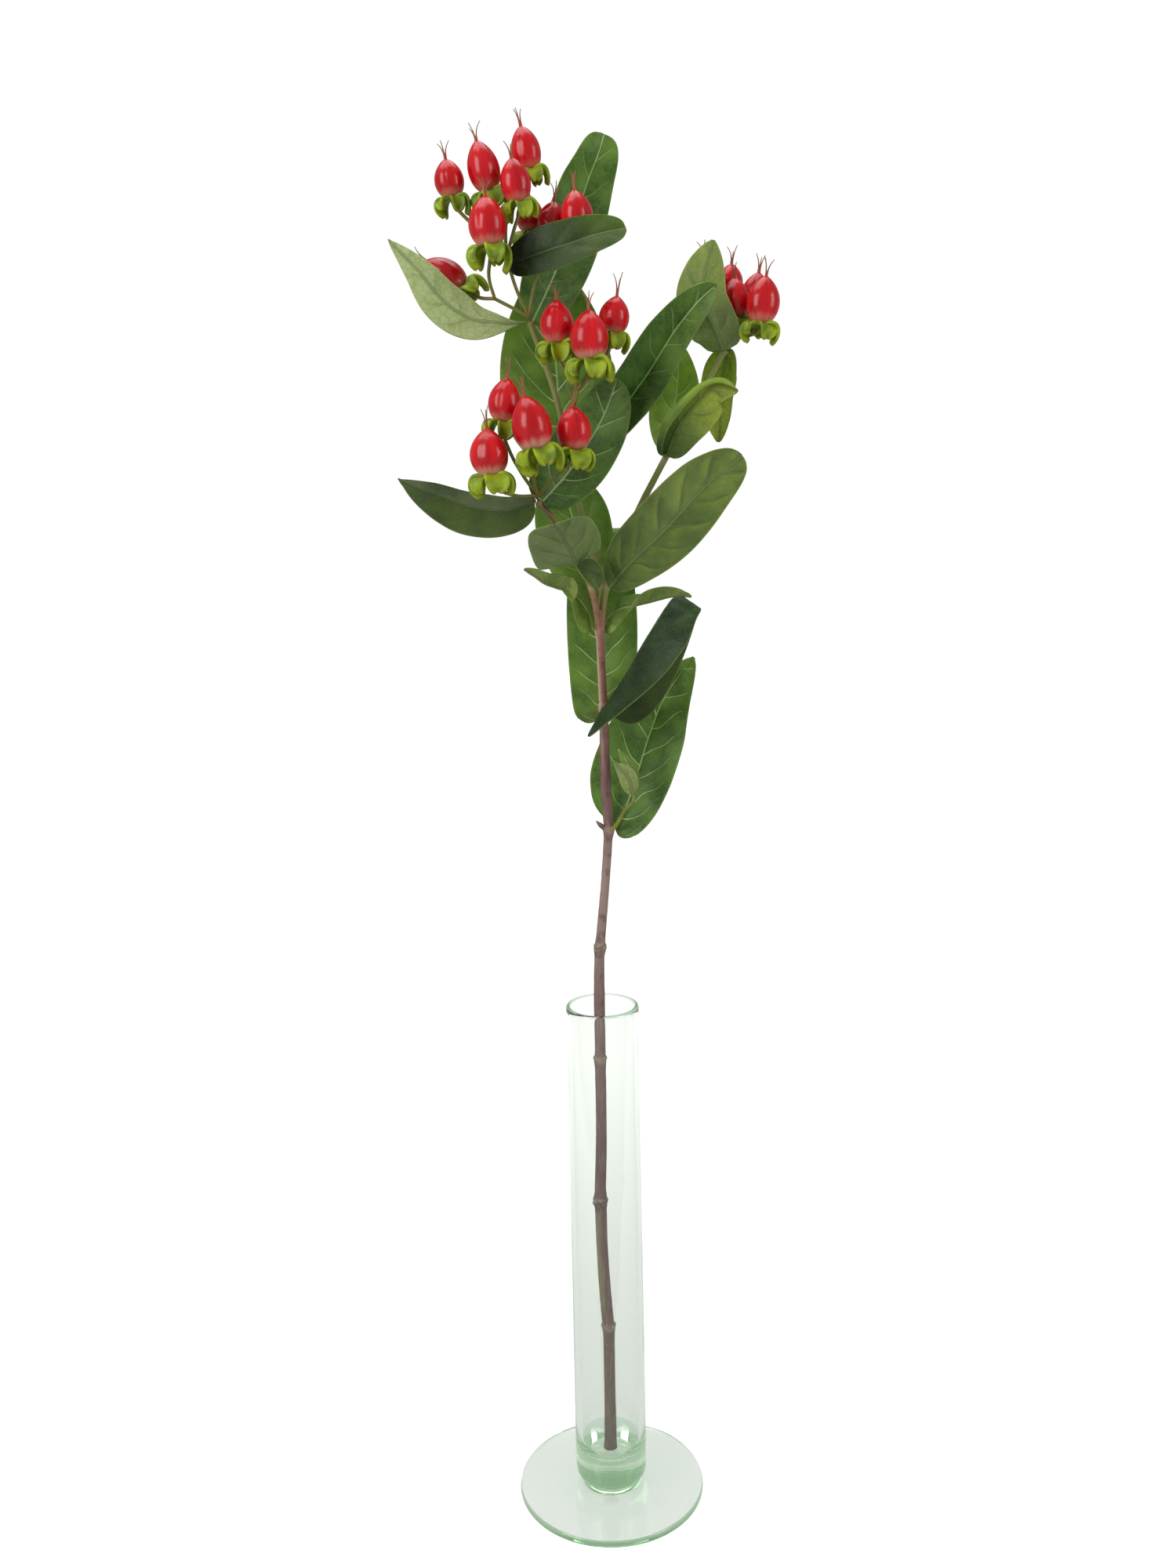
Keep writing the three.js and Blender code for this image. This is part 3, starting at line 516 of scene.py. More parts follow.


# rib: places along the midrib. width: across the open blade. side: where the right half points
# at the base and at the tip. fold and curl: degrees each half rises at the midrib, and again by
# the margin; tipFold: the fold at the tip. lobe: how far each half reaches back round the stem.
# wider: each half's extra width at the base. base and tip: how bluntly the outline ends.
# pointed: the lobes come to a point. lime: how yellow-green the base and the tip are, partly
# painted light where light shines through the blade. dark: how deep a green they are, partly
# painted shade where the blade lies in shadow. pale: how silvery. veins: how clearly the side
# veins show.
usualLeaf = dict(side=[(1, 0, 0)], fold=(10, 10), curl=(0, 0), lobe=(0, 0), wider=(1, 1),
    pointed=False, lime=(0, 0), dark=(0, 0), pale=0, veins=1, wave=1, base=0.4, tip=0.6)
leaves = {
    "low_right": dict(rib=[(7.2, 13.8, 270.5), (12, 18, 280), (16, 21.5, 291), (20, 22.5, 303),
        (25, 21.5, 316), (31, 19, 326), (37, 15, 334)], width=31, side=[(0.9, -0.2, -0.3),
        (0.8, -0.4, -0.3)], fold=(5, 20), tipFold=(60, 10), lobe=(-8, 10), wider=(1.4, 1),
        base=0.35, tip=0.65, lime=(0.15, 0.35)),
    "second_back": dict(rib=[(3, 14.8, 317), (3, 22, 331), (3, 26, 348), (3, 26, 366), (4, 22, 379),
        (5, 29, 382)], width=27, fold=(8, 8), lobe=(10, 8), base=0.1, tip=0.4, lime=(0.3, 0.35)),
    "second_front": dict(rib=[(3, 9, 317), (12, 0, 332), (20, -8, 346), (27, -14, 357),
        (31, -6, 358)], width=31, side=[(0.1, -0.95, 0.2), (0.85, -0.2, -0.5)], fold=(-100, 0),
        tipFold=(-155, 0), lobe=(2, 20), pointed=True, wider=(1.3, 1), base=0.3, tip=0.3,
        dark=(1.08, 0.86), veins=0.1),
    "third_left": dict(rib=[(-0.9, 12.8, 345.6), (-1.9, 13.4, 351), (-4.4, 12, 355.4),
        (-8.5, 11, 359.4), (-13, 8, 361.2), (-17.6, 4.5, 363), (-21.4, 2, 365.8), (-25, 0, 368.2)],
        width=11.6, side=[(1.2, 0.8, 0.5), (-0.2, 0.6, -1.4)], fold=(0, 0), tipFold=(0, 110),
        lobe=(2, 0), wider=(1.5, 0.3), base=0.3, lime=(0.7, 0.3), pale=0.4, veins=0.4),
    "third_right": dict(rib=[(3.4, 13.2, 345.6), (5.2, 14.2, 349.6), (9.5, 14.5, 352.6),
        (15, 12, 354), (21, 9, 355.4), (26.5, 5.5, 357), (31, 2.5, 357.6), (35, 0, 357.3)],
        width=12, side=[(1.2, -0.8, -0.9), (-0.2, -0.6, 1.4)], fold=(0, 0), tipFold=(110, 0),
        lobe=(0, 2), wider=(0.3, 1.2), base=0.3, lime=(0.7, 0.3), pale=0.3, veins=0.4),
    "fourth_back": dict(rib=[(2.5, 14.3, 361.5), (-2, 18, 370), (-8, 20, 389), (-11, 19, 405)],
        width=30.6, side=[(1, -0.2, 0.3), (1, 0, 0.2)], fold=(5, 5), lobe=(4, 3), wider=(0.9, 0.6),
        base=0.08, lime=(0.9, 0.35), veins=0.5),
    "fourth_front": dict(rib=[(6.4, 7, 361.4), (13.8, -3, 370.4), (25.8, -10, 381.6),
        (39.5, -12, 396), (52.5, -8, 406)], width=26, side=[(-0.6, 0.2, 0.7), (-0.7, 0, 0.7)],
        fold=(5, 5), curl=(0, 10), wider=(0.65, 0.9), base=0.45, tip=0.35, lime=(0, 0.2)),
    "small_right": dict(rib=[(-4.2, -1.6, 369.6), (-2, -3.2, 367.4), (0.2, -3.6, 364.6),
        (1.8, -2.8, 361.4)], width=9, side=[(0.75, -0.1, 0.6), (0.9, -0.2, 0.3)], fold=(-60, 0),
        tip=0.5, dark=(0.4, 0.4), veins=0.5),
    "left_front": dict(rib=[(-6.6, -2.3, 371), (-8.3, -8, 375), (-10, -14, 378.4),
        (-11.6, -20, 381.6), (-13, -25.5, 383.8)], width=25, side=[(-1, -0.1, -0.2), (-1, 0, -0.2)],
        fold=(5, 5), curl=(10, 10), wider=(0.9, 1.25), base=0.08, tip=0.25, pale=0.35, veins=0.7),
    "left_far": dict(rib=[(-21, -11.5, 391.5), (-30, -13, 389), (-43, -14, 390.5),
        (-56, -16, 395.5), (-67, -14, 400.5)], width=20, side=[(-0.1, -0.3, -0.9), (0, -0.3, -0.9)],
        fold=(40, 5), lobe=(3, -2), tip=0.9, lime=(0.1, 0), dark=(1, 1), veins=0.3),
    "left_near": dict(rib=[(-17, -10, 392.3), (-9, -4, 401), (-1.5, -2, 411), (5, -2, 422),
        (9.5, -4, 433)], width=24, side=[(0.7, -0.2, -0.6), (0.8, 0, -0.4)], lobe=(3, 3), base=0.35,
        tip=0.4, lime=(0.1, 0.2), dark=(0.13, 0.13), veins=0.9),
    "middle_back": dict(rib=[(-8, 11.3, 407), (-11, 20, 420), (-12, 25, 438), (-13, 27, 460),
        (-14, 26, 478)], width=42, fold=(8, 8), lobe=(5, 5), lime=(0.45, 0.45), veins=1.2),
    "middle_right": dict(rib=[(-5.7, 8, 407), (7, 8, 419), (20, 5, 435), (29, -3, 448),
        (36, -12, 456), (43, -17, 462)], width=21, side=[(0.6, 0, -0.7)], fold=(35, 55),
        tipFold=(20, 20), lobe=(3, 3), wider=(0.85, 1.1), base=0.5, tip=0.45, lime=(0, 0.3),
        dark=(0.46, 0.13), veins=0.4),
    "top_back": dict(rib=[(-19.5, 6.5, 455), (-12, 18.8, 472), (-4.5, 23.8, 490), (0.5, 23.6, 504),
        (4.6, 21, 513), (7, 20, 519.4)], width=23, side=[(0.9, 0.2, -0.3), (1, 0.2, 0)],
        fold=(12, 8), lobe=(3, 3), base=0.45, tip=0.26, lime=(0.1, 0.25), veins=0.3),
    "top_left": dict(rib=[(-22.5, 2.5, 453.3), (-31, -3, 453), (-41, -7, 454), (-50, -9, 460),
        (-58, -8, 470), (-68, -4, 481)], width=17, side=[(-0.1, -0.7, -0.7), (-0.7, 0, -0.7)],
        wider=(1.1, 0.8), base=2, tip=0.8, lime=(0.15, 0.15), pale=1, veins=0.35),
    "top_bract": dict(rib=[(-26, -3, 472.5), (-16, -7, 475), (-7, -10, 477), (3, -10, 480),
        (13, -9, 482)], width=17, side=[(0.1, -0.2, -0.9), (0.1, -0.4, -0.9)], lobe=(1, 1),
        tip=0.35, lime=(0, 0.6), dark=(1.35, 0.65), veins=0),
    "right_back": dict(rib=[(29, 7.2, 409.8), (30, 15, 421), (32, 18, 433), (33, 18, 448)],
        width=18, lobe=(3, 3), base=0.35, tip=0.7, lime=(1.1, 1.1), veins=0.8),
    "right_front": dict(rib=[(27.5, 2.6, 408.5), (31, -4, 417), (37, -8, 424), (43, -10, 429),
        (51, -10, 428)], width=20, side=[(-0.7, 0, 0.6), (-0.4, 0, 0.8)], fold=(0, 0),
        curl=(0, -230), lobe=(3, 3), wider=(0.8, 1.15), tip=0.7, lime=(0, 1.6), dark=(0.46, 0),
        pale=0.1, veins=0.6),
    "far_droop": dict(rib=[(49, 4, 443), (48, 10, 437), (47, 12, 427), (47, 11, 419), (46, 9, 412)],
        width=15, fold=(0, -30), curl=(0, -80), lobe=(2, 2), lime=(1.6, 1.6), veins=0.25),
    "far_front": dict(rib=[(46.6, -0.4, 443.5), (44, -6, 448), (39, -8, 458), (40, -8, 468),
        (43, -6, 478)], width=18, side=[(-1, 0, 0)], lobe=(2, 2), base=0.25, lime=(0.05, 0.5),
        pale=0.25, veins=0.5),
}
blade = {
    "rows": 84,
    "half": 22,  # columns in each half
    "crowd": 1.35,  # above 1, the columns stand closer by the midrib
    "folds": 6,  # steps of the fold between two columns
    "thick": 0.45,  # millimetres
    "root": 0.8,  # how far the midrib is sunk into the leaf node, in millimetres
    "widest": 0.82,  # below 1, the blade is widest before its middle
    "veinGap": 8.5,  # millimetres between side veins along the midrib
    "ribSink": 0.45,
    "veinSink": 0.2,
    "quilt": 0.3,
    "wave": 0.7,
}


def veinPhase(x, y, t):  # whole numbers lie on a side vein; the veins curve on towards the tip
    x = abs(x)
    return (y - (0.4 + 0.5 * t) * x - 0.022 * x * x) / (blade["veinGap"] * (0.85 + 0.4 * t))


# Rows of (place, x, y, u, t) across the blade: x and y are millimetres on it laid flat, u is the
# share of the way from midrib to margin, and t the share of the way from base to tip.
def bladeGrid(leaf, rows, half):
    rib = [Vector(p) for p in leaf["rib"]]
    rib[0] -= (rib[1] - rib[0]).normalized() * blade["root"]
    path = smoothPath(rib)
    length = path[1][-1]
    tipFold = leaf.get("tipFold", leaf["fold"])
    grid = []
    for i in range(rows + 1):
        t = 0.5 - 0.5 * cos(pi * i / rows)
        centre = pathAt(path, t)
        along = (pathAt(path, t + 0.006) - pathAt(path, t - 0.006)).normalized()
        right = Vector(leaf["side"][0]).lerp(Vector(leaf["side"][-1]), t)
        right = (right - right.dot(along) * along).normalized()
        up = right.cross(along)
        full = max(sin(pi * t ** blade["widest"]), 0)
        share = full ** mix(leaf["base"], leaf["tip"], t)
        back = share * max(0, 1 - t / 0.4) ** 2
        halves = []
        for h in (0, 1):
            extra = mix(1, leaf["wider"][h], (1 - t) ** 2)
            reach = max(leaf["width"] / 2 * share * extra, 0.25)
            fold = mix(leaf["fold"][h], tipFold[h], t)
            out = lift = done = 0
            halves.append([])
            for k in range(1, half + 1):
                u = (k / half) ** blade["crowd"]
                for left in range(blade["folds"], 0, -1):
                    step = (u - done) / left
                    middle = done + step / 2
                    curl = leaf["curl"][h] * middle**2
                    angle = radians(fold * ease(middle, -0.02, 0.07) + curl)
                    out += step * cos(angle) * reach
                    lift += step * sin(angle) * reach
                    done += step
                hang = u**1.5 if leaf["pointed"] else sin(0.75 * pi * u**0.8)
                behind = back * leaf["lobe"][h] * hang
                spot = centre + right * (out if h else -out) + up * lift - along * behind
                halves[h].append((spot, (reach if h else -reach) * u, t * length - behind, u, t))
        grid.append([*reversed(halves[0]), (centre, 0, t * length, 0, t), *halves[1]])
    return grid


def shapeBlade(piece, leaf, number, rows, half):
    grid = bladeGrid(leaf, rows, half)
    last = 2 * half
    drift = Vector((number * 7.3, 1.7, 0))
    veins, places, tones, drawn = [], [], [], []
    for v in piece.data.vertices:
        i = round((v.co.y + 0.5) * rows)
        j = round((v.co.x + 0.5) * last)
        spot, x, y, u, t = grid[i][j]
        across = grid[i][min(j + 1, last)][0] - grid[i][max(j - 1, 0)][0]
        ahead = grid[min(i + 1, rows)][j][0] - grid[max(i - 1, 0)][j][0]
        normal = across.cross(ahead).normalized()
        wander = 3 * noise(Vector((x / 9, y / 8, number))) * (1 - 0.6 * t)
        phase = veinPhase(x, y + wander, t)
        gap = phase + (0.5 if x > 0 else 0)
        off = abs(gap - round(gap)) * blade["veinGap"]
        fade = (1 - u**3) * ease(t, 0, 0.1)
        sink = blade["ribSink"] * mix(1, 0.3, t) * bump(x, 0, mix(0.9, 0.6, t))
        sink += blade["veinSink"] * fade * bump(off, 0, 0.75) * ease(u, 0, 0.1)
        pillow = 0.5 - 0.5 * cos(2 * pi * gap)
        lift = blade["quilt"] * fade * pillow * ease(u, 0.02, 0.3)
        wave = noise(Vector((x / 16, y / 16, 0)) + drift) * (0.35 + 0.65 * u)
        wave += 0.5 * noise(Vector((x / 7, y / 7, 4)) + drift) * u**2
        lift += blade["wave"] * leaf["wave"] * wave * ease(t, 0.05, 0.35)
        v.co = (spot + normal * (lift - sink)) * mm
        shown = mix(0.6, 1.2, ease(noise(spot / 6 + drift), -0.4, 0.4))
        veins.append((phase, x, u))
        places.append((x, y + 137 * number, t))
        # lime is partly painted light where light shines through a blade, and dark partly painted
        # shade where it lies in shadow
        tones.append((mix(*leaf["lime"], t), leaf["pale"], mix(*leaf["dark"], t)))
        drawn.append((leaf["veins"] * shown, 0, 0))
    paint(piece, "vein", veins)
    paint(piece, "place", places)
    paint(piece, "tone", tones)
    paint(piece, "drawn", drawn)


def makeBlade(name, leaf, number, rows, half):
    piece = addGrid(name, rows, half)
    shapeBlade(piece, {**usualLeaf, **leaf}, number, rows, half)
    for material in leafMaterials:
        piece.data.materials.append(material)
    wall = piece.modifiers.new("wall", "SOLIDIFY")
    wall.thickness = blade["thick"] * mm
    wall.offset = 0
    wall.material_offset = 1
    wall.material_offset_rim = 2
    applyModifiers(piece)
    smoothed(piece, 70)
    return piece


# The upper face is a waxy skin over deep green, with thin bright veins. The underside is matt and
# greyer, its side veins standing proud, each shown by a painted line of shadow beside. Both faces
# have painted shade in the hollows between side veins and painted light on the swells.
faces = {  # each pair is for the upper face and for the underside
    "dark": ("2A4424", "4A5A2E"),
    "light": ("507236", "63743A"),
    "lime": ("8EA838", "98A63A"),
    "pale": ("66794F", "AAB584"),
    "vein": ("B4C68A", "A3B078"),
    "net": ("6A8A4A", "566836"),
    "edge": ("93A24C", "9AA75C"),
    "shade": ("26401E", "36461F"),
    "rough": ((0.4, 0.55), (0.52, 0.64)),
    # how strong the painted shade in the hollows and the painted light on the swells are
    "quiltShadeAndLight": ((0.15, 0.12), (0.4, 0.28)),
    "ribShare": (0.8, 0.2),
    "ribShade": (0, 0.5),
    "veinShare": (0.85, 0.15),
    "forkShare": (0.6, 0),
    "netShare": (0.3, 0.25),
    "edgeShare": (0.3, 0.5),
    "darkShare": (0.75, 0.45),
    "shadeShare": (0.25, 0.75),
    "shadeWide": (0.12, 0.085),
    "relief": (0.4, 0.5),
    "ridge": (-0.8, 1),
}


def leafFace(name, face):
    look = {key: pair[face] for key, pair in faces.items()}
    material, add = newMaterial(name)
    veins, places, tones, drawn = [
        add("Attribute", attribute_name=key).outputs["Vector"]
        for key in ("vein", "place", "tone", "drawn")]
    phase, x, u = add("SeparateXYZ", [veins]).outputs
    t = add("SeparateXYZ", [places]).outputs[2]
    # lime is partly painted light, dark partly painted shade, besides each blade's own green
    lime, pale, dark = add("SeparateXYZ", [tones]).outputs
    clear = add("SeparateXYZ", [drawn]).outputs[0]
    flat = add("Mapping", {"Vector": places, "Scale": (1, 1, 0)})  # millimetres on the blade
    cells = add("TexVoronoi", {"Vector": flat, "Scale": 0.45}, feature="DISTANCE_TO_EDGE")
    tiny = add("TexVoronoi", {"Vector": flat, "Scale": 1.6}, feature="DISTANCE_TO_EDGE")
    cloud = add("TexNoise", {"Vector": flat, "Scale": 0.09, "Detail": 3})
    speck = add("TexNoise", {"Vector": flat, "Scale": 1.1, "Detail": 3})
    right = add("Math", [x, 0], operation="GREATER_THAN")
    staggered = add("Math", [right, 0.5, phase], **timesPlus)  # the two halves' veins alternate
    along = add("Math", [staggered], operation="FRACT")  # from one side vein to the next
    off = add("Math", [staggered, 0.5], operation="PINGPONG")  # share of the gap to the nearest
    often = add("Math", [staggered, 2.5], **times)
    forks = add("Math", [often, 0.5], operation="PINGPONG")  # finer veins between
    narrow = add("Math", [u, -0.016, 0.03], **timesPlus)
    offWide = add("Math", [off, narrow], operation="DIVIDE")
    ribWide = add("Math", [t, -0.22, 0.42], **timesPlus)
    beside = add("Math", [add("Math", [x], operation="ABSOLUTE"), ribWide], operation="DIVIDE")
    # Each share runs smoothly from one value to another as what it reads grows.
    share = {key: add("MapRange", values, **smooth) for key, values in {
        "side": [offWide, 0.6, 1.5, 1, 0], "sideEnd": [u, 0.55, 0.9, 1, 0],
        "fork": [forks, 0.02, 0.07, 1, 0], "forkOut": [u, 0.25, 0.6, 0.1, 0.4],
        "rib": [beside, 0.7, 1.2, 1, 0], "ribShade": [beside, 1.2, 2.4, look["ribShade"], 0],
        "net": [cells, 0.02, 0.1, 1, 0], "mesh": [tiny, 0.02, 0.16, 1, 0],
        "light": [cloud, 0.35, 0.68, 0, 1], "cloudy": [cloud, 0.3, 0.65, 0.55, 1.1],
        "shade": [off, 0.012, look["shadeWide"], look["shadeShare"], 0],
        "shadeOut": [u, 0.4, 0.95, 1, 0], "shadeIn": [u, 0, 0.06, 0, 1],
        # painted shade in the hollows between side veins, and painted light on the swells
        "hollowShade": [along, 0, 0.4, look["quiltShadeAndLight"][0], 0],
        "swellLight": [along, 0.45, 0.95, 0, look["quiltShadeAndLight"][1]],
        "innerIn": [u, 0.05, 0.3, 0, 1], "innerOut": [u, 0.6, 0.98, 1, 0],
        "edge": [u, 0.955, 0.99, 0, look["edgeShare"]],
        "fleck": [speck, 0.68, 0.76, 0, 0.5], "fleckIn": [cloud, 0.5, 0.6, 0, 1],
    }.items()}
    side = add("Math", [add("Math", [share["side"], share["sideEnd"]], **times), clear], **times)
    # The layers from the lowest up: the factors of each one's share, and its tint.
    inner = [share["innerIn"], share["innerOut"], clear]
    colour = add("Mix", [share["light"], look["dark"], look["light"]], **rgba)
    for factors, tint in (
        # the lime layer is partly painted light, on blades that light shines through
        ([pale], look["pale"]), ([lime, share["cloudy"]], look["lime"]),
        ([share["hollowShade"], *inner], look["shade"]), ([share["swellLight"], *inner], look["lime"]),
        ([share["shade"], share["shadeOut"], share["shadeIn"], clear], look["shade"]),
        ([share["ribShade"]], look["shade"]),
        ([share["fork"], share["forkOut"], look["forkShare"]], look["net"]),
        ([share["net"], look["netShare"]], look["net"]),
        ([share["mesh"], look["netShare"] * 0.4], look["net"]),
        ([side, look["veinShare"]], look["vein"]), ([share["rib"], look["ribShare"]], look["vein"]),
        ([share["edge"]], look["edge"]), ([share["fleck"], share["fleckIn"]], "5B5A2C"),
        # painted shade in part: the blade's dark tone, which is also its own deeper green
        ([dark, look["darkShare"]], "121C0D"),
    ):
        amount = factors[0]
        for factor in factors[1:]:
            amount = add("Math", [amount, factor], **times)
        colour = add("Mix", [amount, colour, tint], **rgba)
    height = speck
    for part, rise in ((share["mesh"], -0.2), (share["net"], -0.5), (side, look["ridge"])):
        height = add("Math", [part, rise, height], **timesPlus)
    add("OutputMaterial", [add("BsdfPrincipled", {
        "Base Color": colour, "IOR": 1.4, "Specular IOR Level": 0.35,
        "Roughness": add("MapRange", [speck, 0.3, 0.7, *look["rough"]], **smooth),
        "Subsurface Weight": 0.3, "Subsurface Radius": (0.6, 1, 0.2),
        "Subsurface Scale": 2.2 * mm, "Normal": add("Bump", {
            "Strength": look["relief"], "Distance": 0.14 * mm, "Height": height})})])
    return material


def leafMargin():  # the cut edge of the blade: a thin yellow-green rim of thicker cells
    material, add = newMaterial("leaf_margin")
    speck = add("TexNoise", {"Vector": add("TexCoord").outputs["Object"], "Scale": 400})
    rim = add("Mix", [speck, "486428", "7E9640"], **rgba)
    add("OutputMaterial", [add("BsdfPrincipled", {"Base Color": rim, "Roughness": 0.5})])
    return material


leafMaterials = [leafFace("leaf_upper_face", 0), leafFace("leaf_underside", 1), leafMargin()]


def makeLeaves():
    for number, (name, leaf) in enumerate(leaves.items()):
        piece = makeBlade(f"{name}_blade", leaf, number, blade["rows"], blade["half"])
        place(piece, "leaf", f"leaf_{name}")


makeLeaves()
print(f"leaves: {len(leaves)} blades with their veins")


# Base, tip and greatest width in millimetres, how pale the base is, and a turn in degrees, which
# is drawn by lot where none is given.
berries = [
    ((-46, 2, 495), (-48, 2, 508), 10.2, 0.5, 20),
    ((-33, -1, 496), (-37, -1, 513), 11, 0.3, -30),
    ((-19, 5.2, 504), (-22, 5.2, 519), 10.2, 0.3, 10),
    ((-23, -6, 491), (-25, -6, 506), 10.4, 0.4, 40),
    ((-33, -11, 476), (-34, -11, 493), 12.8, 0.7, 0),
    ((-20, 11.8, 485), (-20, 11.8, 498), 9.6, 0.6),
    ((-13, 4, 482), (-11, 4, 494), 10, 0.6),
    ((-3, -3, 481), (-4, -3, 496), 11.2, 0.6),
    ((-43, 5, 465.5), (-56.5, 5, 475.5), 11.2, 0.3),
    ((-11, -5, 445), (-11, -5, 460), 11.6, 0.6, 25),
    ((0, -15, 438), (0, -15, 455), 13.2, 0.9, 30),
    ((8, -4, 448), (10, -4, 461), 10.6, 0.5, -10),
    ((-30, -18, 418), (-28, -18, 433), 11.2, 0.6, 15),
    ((-18, -30, 408), (-22, -30, 426), 13.2, 1, -20),
    ((-34, -26, 400), (-35, -26, 416), 13, 1, 10),
    ((-6, -22, 408), (-6, -22, 423), 12, 0.5, 45),
    ((50, 14, 462), (51.5, 14, 474), 9.6, 0.6),
    ((52, 1, 453), (51, 1, 467), 10, 0.4, 0),
    ((58.5, 9, 457), (60.5, 9, 470), 10, 0.6),
    ((59, -7, 450), (61, -7, 466), 11.4, 0.5, 35),
    ((42, 6, 463), (41, 6, 475), 9.4, 0.6),
]
berryShape = {
    "segments": 48,
    "rings": 32,
    "belly": 0.84,  # below 1, the berry is widest below its middle
    "seam": 0.045,  # how deep the seams are, as a share of the width
    "lobes": 0.02,
    "grainStep": 3,  # moves the pattern on from berry to berry
}
styleShape = {"tall": 7.6, "hairs": 3, "copies": 5}  # the hair-like styles left at each tip


def berrySkin():
    # A ripe fleshy capsule: taut waxy skin, wet-looking, paler where the calyx shaded it.
    material, add = newMaterial("taut_berry_skin")
    around, skin = [
        add("Attribute", attribute_name=key).outputs["Vector"] for key in ("around", "skin")]
    s, pale, seam = add("SeparateXYZ", [skin]).outputs
    streak = add("TexNoise", {"Vector": around, "Scale": 5, "Detail": 3})
    cloud = add("TexNoise", {"Vector": around, "Scale": 1.3})
    blushed = add("Math", [streak, 0.16, s], **timesPlus)
    low = add("MapRange", [blushed, 0.12, 0.34, 1, 0], **smooth)
    ripe = add("MapRange", [cloud, 0.3, 0.7, 0, 1], **smooth)
    colour = add("Mix", [ripe, "B20610", "D4101C"], **rgba)
    for share, tint in (
        (add("MapRange", [streak, 0.52, 0.78, 0, 0.15], **smooth), "D83A3A"),
        # the seams darker red: painted shade in their grooves
        (add("Math", [low, pale], **times), "E8A897"), (seam, "7E0A14"),
    ):
        colour = add("Mix", [share, colour, tint], **rgba)
    add("OutputMaterial", [add("BsdfPrincipled", {
        "Base Color": colour, "IOR": 1.45, "Specular IOR Level": 0.5,
        "Roughness": add("MapRange", [streak, 0.3, 0.8, 0.2, 0.28], **smooth),
        "Subsurface Weight": 0.15, "Subsurface Radius": (1, 0.25, 0.15),
        "Subsurface Scale": 1.5 * mm, "Normal": add("Bump", {
            "Strength": 0.04, "Distance": 0.2 * mm, "Height": streak})})])
    return material


def dryStyle():  # dried styles: thin brown threads, redder where they leave the berry
    material, add = newMaterial("dry_style_threads")
    rise = add("SeparateXYZ", [add("Attribute", attribute_name="skin").outputs["Vector"]])
    tint = add("ValToRGB", [rise], stops=[
        (0, "B8432E"), (1, "8A6A55"), (0.3, "B5693E"), (0.7, "A8704A")])
    speck = add("TexNoise", {"Vector": add("TexCoord").outputs["Object"], "Scale": 1800})
    worn = add("Mix", [speck, tint, "7A4A38"], **rgba)
    add("OutputMaterial", [add("BsdfPrincipled", {"Base Color": worn, "Roughness": 0.6})])
    return material


def berryPattern():  # one berry of unit length and width, standing on its base
    select()
    bpy.ops.mesh.primitive_uv_sphere_add(
        segments=berryShape["segments"], ring_count=berryShape["rings"], radius=1,
        location=(0, 0, 0))
    body = bpy.context.object
    skins, arounds = [], []
    for v in body.data.vertices:
        s = 0.5 + 0.5 * v.co.z
        angle = atan2(v.co.y, v.co.x)
        full = max(sin(pi * min(max(s, 0), 1) ** berryShape["belly"]), 0)
        width = 0.5 * full ** (0.48 + 0.2 * s * s)
        thirds = angle / (2 * pi / 3)
        crease = bump(abs(thirds - round(thirds)), 0, 0.045) * ease(s, 0.12, 0.5)
        rolled = 1 - berryShape["lobes"] * cos(3 * angle) * ease(s, 0, 0.4)
        width *= rolled - berryShape["seam"] * crease
        v.co = (width * cos(angle), width * sin(angle), s)
        # the third value darkens the seams' grooves: painted shade
        skins.append((s, 0, 0.55 * crease * ease(s, 0.3, 0.9)))
        arounds.append((cos(angle), sin(angle), s * 0.5))
    paint(body, "skin", skins)
    paint(body, "around", arounds)
    smoothed(body, 60, berrySkin())
    return body


def stylePattern(number, seeded, material):
    hairs = []
    tall, count = styleShape["tall"], styleShape["hairs"]
    for k in range(count):
        turn = 2 * pi * (k + 0.3) / count + seeded.uniform(-0.4, 0.4)
        high = tall * seeded.uniform(0.75, 1)
        far = seeded.uniform(0.8, 2.6)
        places = ((0.2, -1.2, 0.7), (0.26, 0.3, 0.36), (0.24 + 0.12 * far, 0.35 * high, 0.24),
                  (0.24 + 0.45 * far, 0.7 * high, 0.18), (0.3 + far, high, 0.13))
        hairs.append(addTube(f"hair{k}", [
            (out * cos(turn), out * sin(turn), z, radius)
            for out, z, radius in places], 1, 5))
    tuft = joinPieces(f"tuft{number}", hairs)
    paint(tuft, "skin", [(max(v.co.z / mm / tall, 0), 0, 0) for v in tuft.data.vertices])
    paint(tuft, "around", [(0, 0, 0)] * len(tuft.data.vertices))
    smoothed(tuft, 60, material)
    return tuft


def standing(base, tip, turn):  # turns the Z axis from base to tip, then moves it to the base
    axis = (tip - base).normalized()
    across = Vector((1, 0, 0))
    across = (across - across.dot(axis) * axis).normalized()
    axes = Matrix((across, axis.cross(across), axis)).transposed().to_4x4()
    return Matrix.Translation(base) @ axes @ Matrix.Rotation(radians(turn), 4, "Z")


